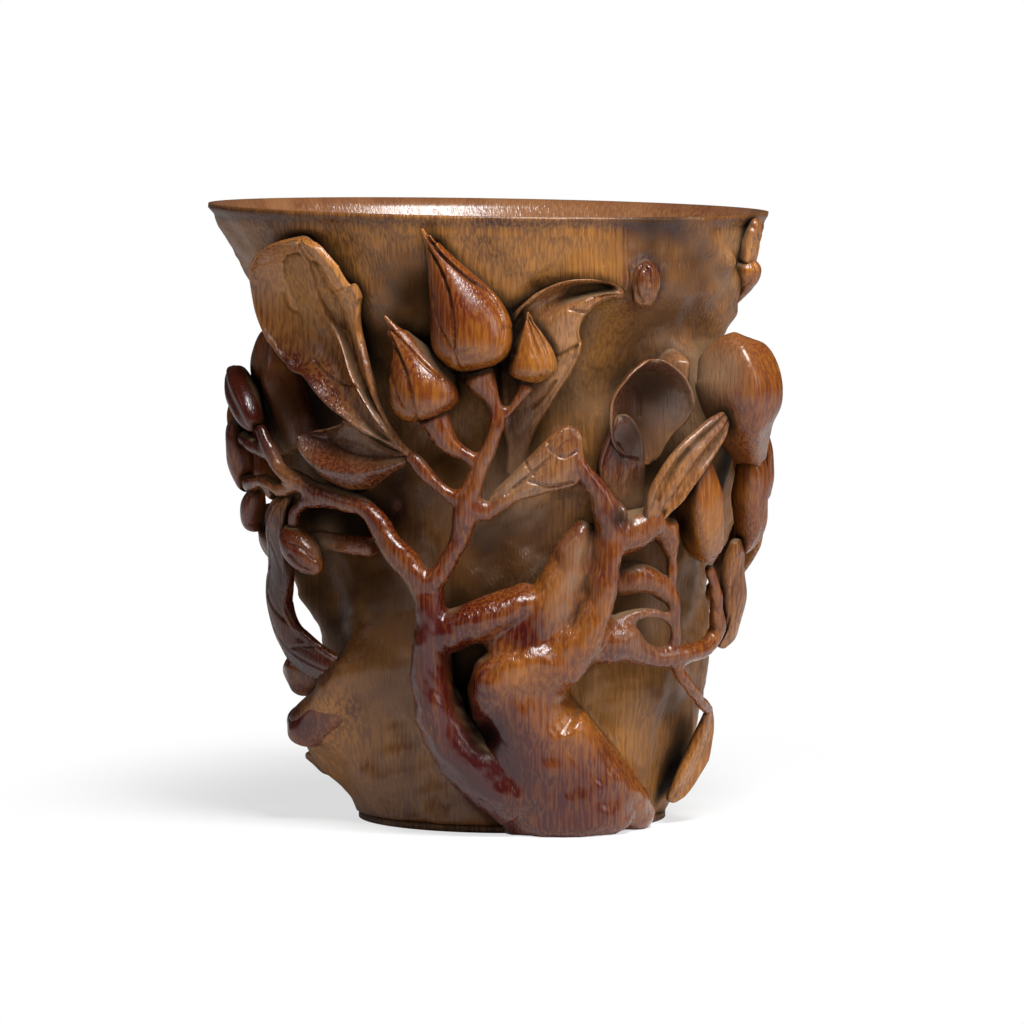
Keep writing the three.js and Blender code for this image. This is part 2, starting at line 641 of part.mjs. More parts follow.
petal("left_petal_upright", around, [
  [-68, 74, 12, 5, 5],
  [-70, 83, 10, 7, 6],
  [-70, 92, 7, 6.6, 5],
  [-69, 99, 5.2, 3, 2.6],
]);
petal("left_petal_back", around, [
  [-94, 66, 10, 4, 5],
  [-98, 72, 4.6, 5, 4.4],
  [-104, 79, 1.6, 5, 3.6],
  [-108, 84, 1.4, 2, 1.6],
]);

// The blossom at the right edge hangs from its domed top petal

petal("right_petal_top", front, [
  [42.8, 97.8, 8, 2, 2],
  [43.8, 95.2, 6, 6.2, 4.8],
  [44.8, 90.6, 4.6, 8.2, 6.2],
  [45.3, 86, 4, 8.6, 6.4],
  [45.7, 81.6, 4, 7.4, 5.4],
  [46.2, 77.8, 4.6, 4.8, 3.9],
  [46.8, 75.4, 5, 1.8, 1.8],
]);
petal("right_petal_outer", front, [
  [46.4, 79.4, 4.4, 1.8, 2],
  [47.6, 74.6, 3.8, 3.4, 3.4],
  [48, 69, 3.6, 3.6, 3.6],
  [47.6, 63, 4, 3.8, 3.8],
  [47, 58, 5, 3, 3],
  [46.4, 55, 6, 1.4, 1.4],
]);
petal("right_petal_tip", front, [
  [49.4, 64, 5.6, 2.4, 2.6],
  [50, 69, 5.4, 2.6, 2.8],
  [50.8, 74.4, 5.8, 1.9, 1.9],
  [51.4, 78.4, 6.4, 0.7, 0.7],
]);
petal("right_petal_inner", front, [
  [35.4, 73.4, 6.4, 3.2, 4],
  [36.6, 68.4, 5.6, 3.9, 4.4],
  [37.8, 62.4, 5, 4, 4.4],
  [38.8, 56.4, 5, 3.5, 3.6],
  [39, 52.6, 5.4, 1.6, 2],
]);
petal("right_petal_back", around, [
  [84, 68, 13, 5, 5],
  [90, 76, 11, 6.4, 5],
  [94, 84, 9.6, 6.4, 5],
  [98, 91, 9.4, 2.4, 2],
]);

// The back, which the main view doesn't show: a second stem with two twigs, a bud and three leaves

branch("back_stem", around, [
  [158, -3, 6, 7, 7],
  [160, 10, 6, 6, 7],
  [172, 24, 6, 5, 7],
  [180, 38, 5, 4, 6],
  [174, 52, 3.6, 3.2, 4],
  [162, 66, 3, 2.4],
], BRANCH_SIDES);
branch("back_twig", around, [[178, 44, 3.4, 2.4], [192, 53, 2.6, 2], [204, 64, 2.6, 2], [208, 72, 2.8, 3.2]]);
branch("back_side_twig", around, [[161, 14, 4.4, 3], [142, 25, 3, 2.4], [126, 36, 2.4, 2], [118, 45, 2.4, 1.6]]);
leaf("back_leaf_upper", around, [
  [163, 65, 3, 1, 1],
  [158, 75, 3, 7, 7],
  [152, 86, 3.6, 10.6, 10.6],
  [148, 97, 3.6, 10, 10],
  [146, 108, 2.4, 1.6, 1.6],
], { cup: 2.4, across: 6, thickness: FOLDED_THICKNESS });
leaf("back_leaf_side", around, [
  [118, 44, 2.6, 1, 1],
  [110, 52, 3.6, 6.4, 6.4],
  [106, 62, 4.6, 7, 7],
  [108, 72, 6, 1.4, 1.4],
], { cup: 2, thickness: FOLDED_THICKNESS });
leaf("back_leaf_low", around, [
  [178, 38, 4, 1.6, 1.6],
  [194, 36, 4, 6.6, 6.6],
  [212, 38, 4, 6.4, 6.4],
  [228, 44, 4, 1.4, 1.4],
], { cup: 2, thickness: FOLDED_THICKNESS });
bud("back_bud", around, [[208, 72.6, 3], [210, 81, 2.4], [214, 95, 3]], 7);

export default cup;
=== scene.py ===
# %% [markdown]
# # A carved bamboo libation cup
#
# The cup is one length of bamboo root. Its outside is pierced and undercut into a gnarled trunk with
# twigs, cupped leaves, closed buds and two open blossoms. It could be sculpted by hand with brushes, but
# then nobody could read how a form was made. Here each form starts as a ball, a ring or a tube, and its
# points are moved in code along a few rows of sizes. Sizes are millimetres, as a carver would measure
# them, and become metres when a piece is finished. The studio at the end is in metres.

import math

import bmesh
import bpy
import numpy as np
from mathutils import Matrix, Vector


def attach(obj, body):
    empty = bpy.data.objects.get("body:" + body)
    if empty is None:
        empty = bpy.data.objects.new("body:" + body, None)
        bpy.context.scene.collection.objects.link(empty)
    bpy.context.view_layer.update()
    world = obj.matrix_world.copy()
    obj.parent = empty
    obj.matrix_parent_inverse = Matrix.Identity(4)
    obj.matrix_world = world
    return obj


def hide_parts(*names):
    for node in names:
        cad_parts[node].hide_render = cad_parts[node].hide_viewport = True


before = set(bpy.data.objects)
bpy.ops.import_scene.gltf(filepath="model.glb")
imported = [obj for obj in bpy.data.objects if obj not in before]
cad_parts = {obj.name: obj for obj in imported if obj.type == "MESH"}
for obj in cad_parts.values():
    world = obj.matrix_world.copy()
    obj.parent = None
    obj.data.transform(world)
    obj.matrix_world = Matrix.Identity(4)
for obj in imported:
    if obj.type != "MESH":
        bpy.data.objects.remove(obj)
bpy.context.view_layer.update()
print("nodes in the frame:", len(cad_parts))

# %% [markdown]
# ## The camera
#
# The photograph was taken with a long lens from a little above the rim, so the mouth shows as a thin
# ellipse. A long lens far away keeps that flat look. The picture is taken to be 1024 pixels square.

# %% Camera
CAMERA_DISTANCE = 1.5
CAMERA_HEIGHT = 0.185
CAMERA_PITCH = math.radians(4.725)
SENSOR_WIDTH = 36
LENS = 264.6

camera_data = bpy.data.cameras.new("studio_camera")
camera_data.sensor_width = SENSOR_WIDTH
camera_data.lens = LENS
camera_data.clip_end = 20
camera = bpy.data.objects.new("studio_camera", camera_data)
camera.location = (0, -CAMERA_DISTANCE, CAMERA_HEIGHT)
camera.rotation_euler = (math.pi / 2 - CAMERA_PITCH, 0, 0)
bpy.context.scene.collection.objects.link(camera)
bpy.context.scene.camera = camera
print("camera stands", CAMERA_DISTANCE, "m in front of the cup")

# %% [markdown]
# ## Where things lie on the cup
#
# The carving was drawn on the outside of the bamboo before it was cut. A place on it is given as a turn
# from the front, or as a distance across the drawing, with a height and how far it is sunk below the
# bamboo's skin. The tables give a size at each height. Three are for the ground, which is the wall left
# behind the carving, three for how far the skin stands off it, and one for the drawing's own width.

# %% The drawing
RIM_HEIGHT = 122
RIM_TILT = 0.9
WAIST_ACROSS = 35
WAIST_DEEP = 30
DRAWING_HALF_WIDTH = [
    [0, 33], [10, 38], [25, 43], [45, 49], [65, 54], [80, 57], [90, 57], [108, 55], [122, 58],
]
GROUND_HALF_WIDTH = [
    [0, 30.5], [12, 31.7], [30, 34], [45, 35], [52, 36.6], [60, 41], [70, 43], [97, 43], [110, 50], [122, 56],
]
GROUND_HALF_DEPTH = [[0, 29], [30, 30], [60, 30], [80, 32], [95, 34.6], [110, 39.5], [122, 43.5]]
GROUND_LEAN = [[0, 0], [30, 1.6], [75, 1.6], [95, -2.25], [110, -3.6], [122, -4.5]]
RELIEF_ACROSS = [
    [0, 2.5], [10, 6.5], [25, 10], [45, 14], [65, 12], [80, 14], [90, 14], [108, 6.5], [122, 2.5],
]
RELIEF_DEEP = [[0, 4], [10, 7.5], [25, 11], [45, 13.5], [65, 14], [80, 13], [95, 10], [108, 6.5], [122, 3.5]]
SKIN_LEAN = [[0, 0], [100, 0], [122, -3.6]]


def read(table, height):
    return np.interp(height, [row[0] for row in table], [row[1] for row in table])


def outward(x, y):
    """The level direction that points away from the cup."""
    return Vector((x / WAIST_ACROSS**2, y / WAIST_DEEP**2, 0)).normalized()


def around(turn, z, sink):
    a = math.radians(turn)
    x = (read(GROUND_HALF_WIDTH, z) + read(RELIEF_ACROSS, z)) * math.sin(a)
    y = -(read(GROUND_HALF_DEPTH, z) + read(RELIEF_DEEP, z)) * math.cos(a)
    way = outward(x, y)
    return Vector((x - way.x * sink + read(SKIN_LEAN, z), y - way.y * sink, z))


def front(x, z, sink):
    share = (x - read(SKIN_LEAN, z)) / read(DRAWING_HALF_WIDTH, z)
    turn = math.degrees(math.asin(max(-1, min(1, share))))
    return around(turn, z, 0) + Vector((0, sink, 0))


print("skin at the front of the rim:", [round(c, 1) for c in front(0, 118, 0)])

# %% [markdown]
# ## Turning a ball into a carved form
#
# A twig, a leaf and a bud are all closed forms that run along a bent line. A ball has its rings of
# points already in order from one end to the other, so it can be pulled along that line: each ring goes
# to its place and takes the cross-section it needs there. Rows give the line and the sizes: two numbers
# for the place, how far it is sunk, and one or two half sizes. A smooth curve is run through them.

# %% A smooth line through rows
LINE_STEPS = 60
STRAIGHT_OUT = 0.9  # a line that runs straighter outward than this has its sizes across and upward
LEVEL_OUT = np.array([WAIST_ACROSS**2, WAIST_DEEP**2, 1e9])  # the huge last number keeps "out" level


def through(rows, at):
    rows = np.asarray(rows, float)
    rows = np.vstack([2 * rows[0] - rows[1], rows, 2 * rows[-1] - rows[-2]])
    i = np.clip(np.floor(at).astype(int), 0, len(rows) - 4)
    f = (at - i)[:, None]
    a, b, c, d = rows[i], rows[i + 1], rows[i + 2], rows[i + 3]
    return b + 0.5 * f * (c - a + f * (2 * a - 5 * b + 4 * c - d + f * (3 * (b - c) + d - a)))


def unit(ways):
    return ways / np.linalg.norm(ways, axis=1)[:, None]


def line_along(place, rows, shares):
    """Centre, two sizes, way along, way out and way across at each share of the line's length."""
    table = [[*place(*row[:3]), row[3], row[-1]] for row in rows]
    fine = through(table, np.linspace(0, len(rows) - 1, LINE_STEPS * len(rows)))
    run = np.concatenate([[0], np.cumsum(np.linalg.norm(np.diff(fine[:, :3], axis=0), axis=1))])
    along = unit(np.gradient(fine[:, :3], axis=0))
    level = unit(fine[:, :3] / LEVEL_OUT)
    steep = np.abs((level * along).sum(1)) > STRAIGHT_OUT
    level[steep] = (0, 0, 1)
    out = unit(level - along * (level * along).sum(1)[:, None])
    everything = np.hstack([fine, along, out, np.cross(along, out)])
    picked = np.stack([np.interp(shares * run[-1], run, column) for column in everything.T], 1)
    return picked, run[-1]


# %% Points of a mesh, in millimetres
def listed(elements, key, width=3, kind=float):
    values = np.empty(len(elements) * width, kind)
    elements.foreach_get(key, values)
    return values.reshape(-1, width)


def points(piece):
    return listed(piece.data.vertices, "co") * 1000


def normals(piece):
    return listed(piece.data.vertex_normals, "vector")


def edges(piece):
    return listed(piece.data.edges, "vertices", 2, np.int32)


def put_points(piece, co):
    piece.data.vertices.foreach_set("co", (co / 1000).ravel())
    piece.data.update()


def spread(piece, values, times):
    """Each point takes half of its own value and half of its neighbours' mean, a few times over."""
    pairs = edges(piece)
    count = len(values)
    both = np.concatenate([pairs[:, 0], pairs[:, 1]])
    other = np.concatenate([pairs[:, 1], pairs[:, 0]])
    near = np.maximum(np.bincount(both, minlength=count), 1)
    columns = values.reshape(count, -1)
    for _ in range(times):
        means = [np.bincount(both, column[other], count) / near for column in columns.T]
        columns = (columns + np.stack(means, 1)) / 2
    return columns.reshape(values.shape)


def show(name, mesh):
    """Puts a mesh in the scene as an object at the origin."""
    piece = bpy.data.objects.new(name, mesh)
    bpy.context.scene.collection.objects.link(piece)
    return piece


def finished(name, bm):
    """A mesh object made of the working mesh, with its faces turned outward and shaded smooth."""
    bmesh.ops.recalc_face_normals(bm, faces=bm.faces)
    for face in bm.faces:
        face.smooth = True
    mesh = bpy.data.meshes.new(name)
    bm.to_mesh(mesh)
    bm.free()
    return show(name, mesh)


# %% Low swells that a knife leaves
WAVES = 6
FULL_TURN = 6.283


def knife_marks(co, size, seed):
    """A smooth height for each point, between about -1 and 1, from slanting waves of this size."""
    heights = np.zeros(len(co))
    for k in range(WAVES):
        tilt = (1.7 * k + seed, 2.3 * k + 1.3 * seed, 3.1 * k + 0.7 + seed)
        way = np.array([math.sin(tilt[0]), math.cos(tilt[1]), math.sin(tilt[2])])
        wave = co @ (way / np.linalg.norm(way)) * (FULL_TURN / size) * (0.7 + 0.16 * k)
        heights += np.sin(wave + 5 * k + seed)
    return heights / 3


def cut_marks(piece, height, size, seed):
    co = points(piece)
    put_points(piece, co + normals(piece) * (height * knife_marks(co, size, seed))[:, None])


# %% Pull a ball along a line
FEWEST_SEGMENTS, FEWEST_RINGS, MOST_STEPS = 14, 10, 420
SQUEEZED = 0.8  # how long the way round a section is beside a circle of its widest size
made = {}  # for each pulled piece, every point's place across it and along it


def pulled(name, place, rows, section, spacing=0.34, blunt=(1.2, 1.2)):
    """section(turn, share, a, b) gives a point's distance across and out. blunt rounds the two ends."""
    coarse, length = line_along(place, rows, np.linspace(0, 1, 50))
    widest = coarse[:, 3:5].max()
    girth = 2 * math.pi * widest * SQUEEZED
    segments = int(np.clip(girth / spacing, FEWEST_SEGMENTS, MOST_STEPS)) // 2 * 2
    rings = int(np.clip(length / spacing, FEWEST_RINGS, MOST_STEPS))
    bm = bmesh.new()
    bmesh.ops.create_uvsphere(bm, u_segments=segments, v_segments=rings, radius=1)
    ball = np.array([v.co for v in bm.verts])
    share = np.arccos(np.clip(-ball[:, 2], -1, 1)) / math.pi
    turn = -np.arctan2(ball[:, 1], ball[:, 0])
    line, length = line_along(place, rows, share)
    run = share * length
    start = 1 - np.clip(run / blunt[0], 0, 1)
    end = 1 - np.clip((length - run) / blunt[1], 0, 1)
    cap = np.sqrt(np.maximum(0, 1 - start**2)) * np.sqrt(np.maximum(0, 1 - end**2))
    across, out = section(turn, share, line[:, 3] * cap, line[:, 4] * cap)
    piece = finished(name, bm)
    put_points(piece, line[:, :3] + line[:, 11:14] * across[:, None] + line[:, 8:11] * out[:, None])
    made[name] = np.stack([across, run], 1)
    return piece


def piece_name(kind, node):
    """A piece is named for the node that it stands for, with its kind in front."""
    kinds = ("leaf", "petal", "bud", "knot", "stub", "spur")
    return "_".join([kind] + [word for word in node.split("_") if word not in kinds])


def count_faces(pieces):
    return sum(len(piece.data.polygons) for piece in pieces)


# %% Cross-sections
def round_section(turn, share, a, b):
    return a * np.cos(turn), b * np.sin(turn)


def bump_at(distance, width):
    """A soft bump that is 1 in its middle and fades with distance."""
    return np.exp(-((distance / width) ** 2))


SQUARE_EDGE = 0.55  # the smaller, the squarer the sheet's edge
THIN_BELOW = 2.5  # half width under which a sheet gets thinner
RIDGE_WIDTH = 0.55
BEAD_HEIGHT, BEAD_INSET, BEAD_WIDTH = 0.4, 0.55, 0.5


def blade_section(thick, profiles, ridge):
    """A leaf's thick sheet. profiles are rows of (share, heights from the left edge to the right edge)."""
    shares = [row[0] for row in profiles]

    def section(turn, share, a, b):
        u = np.cos(turn)
        width = np.where(u < 0, a, b)
        face = np.sign(np.sin(turn)) * np.abs(np.sin(turn)) ** SQUARE_EDGE
        at = np.interp(share, shares, np.arange(len(shares)))
        low = np.clip(np.floor(at).astype(int), 0, max(0, len(shares) - 2))
        heights = []
        for row in profiles:
            knots = np.asarray(row[1], float)[:, None]
            heights.append(through(knots, (u + 1) / 2 * (len(knots) - 1))[:, 0])
        heights = np.array(heights)
        index = np.arange(len(u))
        blend = at - low
        high = np.minimum(low + 1, len(shares) - 1)
        rise = heights[low, index] * (1 - blend) + heights[high, index] * blend
        full = np.minimum(1, width / THIN_BELOW)
        half = thick / 2 * (1 - 0.25 * u * u) * full
        spine = ridge * bump_at(u * width, RIDGE_WIDTH) * (face > 0) * full
        inward = (1 - np.abs(u)) * width
        bead = BEAD_HEIGHT * bump_at(inward - BEAD_INSET, BEAD_WIDTH) * (face > 0) * full
        return u * width, rise * full + face * half + spine + bead

    return section


# %% [markdown]
# ## Cutting lines
#
# Veins and the overlaps of petals are cut with a small V tool. Such a line is drawn from the front, as
# the carver pencils it, or on a leaf laid flat where the front can't see it. Every point near the line is
# pushed in, with a slight burr beside the cut.

# %% The V tool
def distance_to(flat, line):
    line = np.asarray(line, float)
    best = np.full(len(flat), 1e9)
    for a, b in zip(line[:-1], line[1:]):
        d = b - a
        t = np.clip(((flat - a) @ d) / max(d @ d, 1e-9), 0, 1)
        best = np.minimum(best, np.linalg.norm(flat - a - t[:, None] * d, axis=1))
    return best


def smooth_line(line):
    return through(line, np.linspace(0, len(line) - 1, 8 * len(line)))


def incise(piece, lines, width=0.34, depth=0.42, laid_flat=False):
    co = points(piece)
    way = normals(piece)
    flat, faces_out = co[:, [0, 2]], way[:, 1] < -0.05
    if laid_flat:
        flat = made[piece.name]
        level = co * np.array([1 / WAIST_ACROSS**2, 1 / WAIST_DEEP**2, 0])
        faces_out = (way * level).sum(1) > 0
    total = np.zeros(len(co))
    for line in lines:
        d = distance_to(flat, smooth_line(line))
        total = np.maximum(total, bump_at(d, width) - 0.4 * bump_at(d - 2 * width, 0.8 * width))
    put_points(piece, co - way * (total * depth * faces_out)[:, None])


# %% [markdown]
# ## The cup's wall
#
# The wall was left standing when the carving was cut free, and its bore was hollowed out and polished.
# A lathe profile is spun into a ring of points, because it gives a closed wall with the inside and the
# outside in step, and then every point is moved to the oval, flared and slightly fluted shape.

# %% Spin a profile, and find the ground
FLUTE_DEPTH = 0.9


def spun(name, profile, steps):
    """A profile of (radius, height) spun once round, closed on itself."""
    bm = bmesh.new()
    verts = [bm.verts.new((radius, 0, height)) for radius, height in profile]
    loop = [bm.edges.new((verts[i], verts[(i + 1) % len(verts)])) for i in range(len(verts))]
    turned = dict(cent=(0, 0, 0), axis=(0, 0, 1), angle=2 * math.pi, steps=steps)
    bmesh.ops.spin(bm, geom=verts + loop, use_merge=True, **turned)
    bmesh.ops.remove_doubles(bm, verts=bm.verts, dist=1e-5)
    return finished(name, bm)


def ring_places(piece):
    """Radius, turn in degrees and height of each point of a spun profile."""
    ring = points(piece) / 1000
    return np.hypot(ring[:, 0], ring[:, 1]), np.degrees(np.arctan2(ring[:, 0], -ring[:, 1])), ring[:, 2]


def ground(turn, z, offset):
    """Points on the ground at turns in degrees and heights, moved out by an offset."""
    a = np.radians(turn)
    fade = np.sin(math.pi * np.clip(z / RIM_HEIGHT, 0, 1))
    swell = offset + FLUTE_DEPTH * fade * (np.cos(5 * a + z / 30) + 0.6 * np.cos(8 * a - z / 22))
    x = read(GROUND_LEAN, z) + (read(GROUND_HALF_WIDTH, z) + swell) * np.sin(a)
    y = -(read(GROUND_HALF_DEPTH, z) + swell) * np.cos(a)
    return np.stack([x, y, z], 1)


# %% Swells and gouges of the ground
# Each runs between two places, given as a turn and a height, and has a height and a width of its own.
GROUND_SWELLS = [
    [-88, 9, -84, 50, 4.2, 9], [-92, 17, -74, 19, 5, 7], [-72, 21, -50, 34, 3.2, 7],
    [-62, 2, -58, 52, 3.6, 9], [-98, 56, -94, 84, 5, 9], [-70, 84, -68, 96, 4, 8],
    [-44, 101, -12, 102, 2.2, 11], [-12, 57, 16, 58, -2.6, 8], [-60, 61, -36, 63, -3, 5.5],
    [-24, 77, -12, 80, -2, 5], [16, 84, 46, 91, -1.8, 5.5], [24, 109, 62, 105, 3.2, 6],
    [66, 100, 76, 101, 2, 4], [60, 78, 66, 92, 5, 8], [92, 56, 90, 84, 4, 9], [34, 6, 48, 30, 2.2, 9],
    [78, 8, 84, 40, 4, 9], [112, 4, 116, 34, 2.4, 8], [150, 0, 176, 40, 3, 9], [-150, 2, -138, 44, 4, 10],
    [-126, 60, -132, 100, 2.6, 10], [128, 78, 160, 104, 2.4, 12],
]
GROUND_FOLDS = [
    [49, 119, 60, 112, 1.5, 2.4], [60, 112, 71, 102, 1.9, 2.4], [78, 117, 80, 107, -1.2, 3.6],
    [-71, 22.5, -55, 30, 4.4, 6], [-92, 12, -82, 11, 2, 5], [-88, 45, -90, 58, 4.2, 5],
    [49, 79, 50, 93, 5, 5], [-42, 64, -34, 71, -2, 4], [2, 70, 12, 66, -2, 5],
]
TURN_MM = 0.75  # one degree of turn, in millimetres along the wall


def swells(turn, z):
    """How far the ground is swollen out at a turn and a height."""
    total = np.zeros(len(turn))
    for turn_a, z_a, turn_b, z_b, height, width in GROUND_SWELLS + GROUND_FOLDS:
        for lap in (-360, 0, 360):
            flat = np.stack([(turn + lap) * TURN_MM, z], 1)
            ends = np.array([[turn_a * TURN_MM, z_a], [turn_b * TURN_MM, z_b]])
            total += height * bump_at(distance_to(flat, ends), width)
    return total * np.clip(z / 9, 0, 1)


print("swells and folds:", len(GROUND_SWELLS) + len(GROUND_FOLDS))

# %% Spin the wall and shape it
WALL_STEPS = 320
OUTSIDE_LEVELS = 150
INSIDE_LEVELS = 58
OUTSIDE, INSIDE = 3, 2  # the ring's radii, before every point is moved to its own place
FOOT_LINE = 1.5
WALL_THICKNESS = [[0, 4.5], [0.62, 4.5], [0.85, 2.5], [0.97, 1.6], [1, 1.2]]

profile = [(OUTSIDE, level) for level in np.linspace(0, 1, OUTSIDE_LEVELS)]
profile += [(INSIDE, level) for level in np.linspace(1, 0, INSIDE_LEVELS)]
wall = spun("cup_wall_carved", profile, WALL_STEPS)
radius, wall_turn, wall_share = ring_places(wall)
is_inside = radius < (INSIDE + OUTSIDE) / 2
rim_at = RIM_HEIGHT - RIM_TILT * np.sin(np.radians(wall_turn))
wall_z = FOOT_LINE + wall_share * (rim_at - FOOT_LINE)
plain = ground(wall_turn, wall_z, 0)
marks = 0.45 * knife_marks(plain, 11, 6) + 0.12 * knife_marks(plain, 3.4, 7)
below_rim = rim_at - wall_z
lip = -0.35 * bump_at(below_rim - 2.1, 0.55) + 0.15 * bump_at(below_rim - 1, 0.6)
outer_offset = swells(wall_turn, wall_z) + marks * np.clip(below_rim / 4, 0, 1) + lip
wall_co = ground(wall_turn, wall_z, np.where(is_inside, -read(WALL_THICKNESS, wall_share), outer_offset))
put_points(wall, wall_co)
print("wall:", len(wall.data.polygons), "faces")

# %% [markdown]
# ## The plate let into the foot
#
# Under the wall shows the thin edge of a plate that closes the bore. It is turned from its own profile:
# an edge as wide as the wall, and a plug that goes up into the bore.

# %% Base plate
PLUG_INSET = -4.9
plate_profile = [(3, 0), (3, 0.5), (3, 1), (2, 1), (2, 2), (1.6, 2)]
plate_profile += [(1, 2), (0.05, 2), (0.05, 0), (1, 0), (2, 0)]
plate = spun("base_plate_turned", plate_profile, 192)
radius, turn, level = ring_places(plate)
inset = np.interp(radius, [0, 2, 3], [-31, PLUG_INSET, 0.25])
height = np.interp(level, [0, 0.5, 1, 2], [0, 0.7, 1.3, 6])
plate_co = ground(turn, height * 0, inset)
plug = ground(turn, height * 0, PLUG_INSET)[:, :2] * np.clip(radius / 2, 0, 1)[:, None]
plate_co[:, :2] = np.where(radius[:, None] < 2, plug, plate_co[:, :2])
plate_co[:, 2] = height
put_points(plate, plate_co)
print("plate:", len(plate.data.polygons), "faces")

# %% [markdown]
# ## The trunk and its twigs
#
# Trunk, stems and twigs are one growth, so their forks must run into each other without a seam. Each
# limb is pulled from a ball by itself. Then all of them are joined and remeshed as one skin, which melts
# the overlaps together, and a little smoothing leaves the soft hollows that a gouge would.
#
# The knee of the trunk is built of two lobes with a knot hollow between them, over a core that gives
# the hollow its floor.

# %% Limbs of the trunk
TRUNK_LIMBS = {
    "root": [[12, 1.5, 8, 14.6, 12], [11, 5, 8, 14.2, 12], [8, 12, 9.4, 12.8, 11], [3.6, 20, 10, 10.8, 10.4],
        [1.4, 27, 10, 9.8, 10], [2.4, 33, 9.6, 9.4, 9]],
    "root_foot": [[22, 0.4, 7.8, 5.2, 6.6], [21.4, 4, 7.4, 5.7, 7.1], [17.8, 9.6, 6.6, 6, 7.2],
        [13.6, 15, 6.4, 6, 7], [8.6, 23, 7, 5.4, 7]],
    "knee": [[-3.6, 27, 4.6, 4, 4.6], [-3, 31.6, 4, 5, 4.6], [3, 33.4, 4.4, 5.6, 5.2],
        [8.6, 34.8, 4.6, 5, 5.2], [12.6, 36.2, 5.2, 4, 4.6]],
    "core": [[3, 31, 10, 7, 6.4], [6, 38, 10, 7.4, 6.6], [9, 44, 10.2, 6.8], [11.4, 50, 9.8, 5.8, 6.6],
        [13.8, 56, 8.8, 4, 5.4], [15.4, 61.6, 7.6, 2.4, 3.6]],
    "knee_low": [[-3.4, 23.4, 6.2, 4.4], [-3.7, 28, 5.2, 4.8], [-3.2, 32, 4.8, 5]],
    "slope": [[-1.8, 34.6, 6.8, 5.6, 5.4], [0.4, 37.3, 6.6, 5.4, 5.2], [4, 40.6, 6.5, 5.1, 5],
        [7.4, 44.7, 6.5, 5.2, 4.8], [9.4, 48.9, 6.3, 4.8, 4.6], [11.2, 55.1, 5.9, 3.5, 4.1],
        [12.4, 59.2, 5.6, 2.4, 3.6], [14.4, 62.6, 5.2, 1, 2.2]],
    "bark": [[4, 31.8, 5.6, 6.4, 5], [9.8, 35.8, 4.6, 5.8, 5], [14, 39.8, 3.9, 4.1, 4.8],
        [15.9, 43.6, 3.3, 3.3, 4.5], [17.4, 48, 2.9, 2.9, 4.2], [18.3, 52.6, 2.7, 2.8, 3.8],
        [18.9, 57, 2.6, 2.7, 3.5], [18.8, 62, 2.7, 2.7, 3.2], [17.4, 67.6, 2.9, 2.6, 3]],
    "crown": [[19.2, 61, 2.6, 2.8, 3], [18.2, 65.6, 2.6, 2.6, 2.8], [16, 69, 3, 2, 2.6],
        [13, 73.4, 3.2, 1.8, 2.2], [9.8, 78, 3, 1.6], [8.6, 80.6, 3, 1.7]],
    "cut_end": [[18.6, 62.6, 2.8, 2.4], [20.2, 64.6, 1.6, 2.5], [21.2, 65.8, 0.6, 2.1]],
}
print("limbs of the trunk:", len(TRUNK_LIMBS))

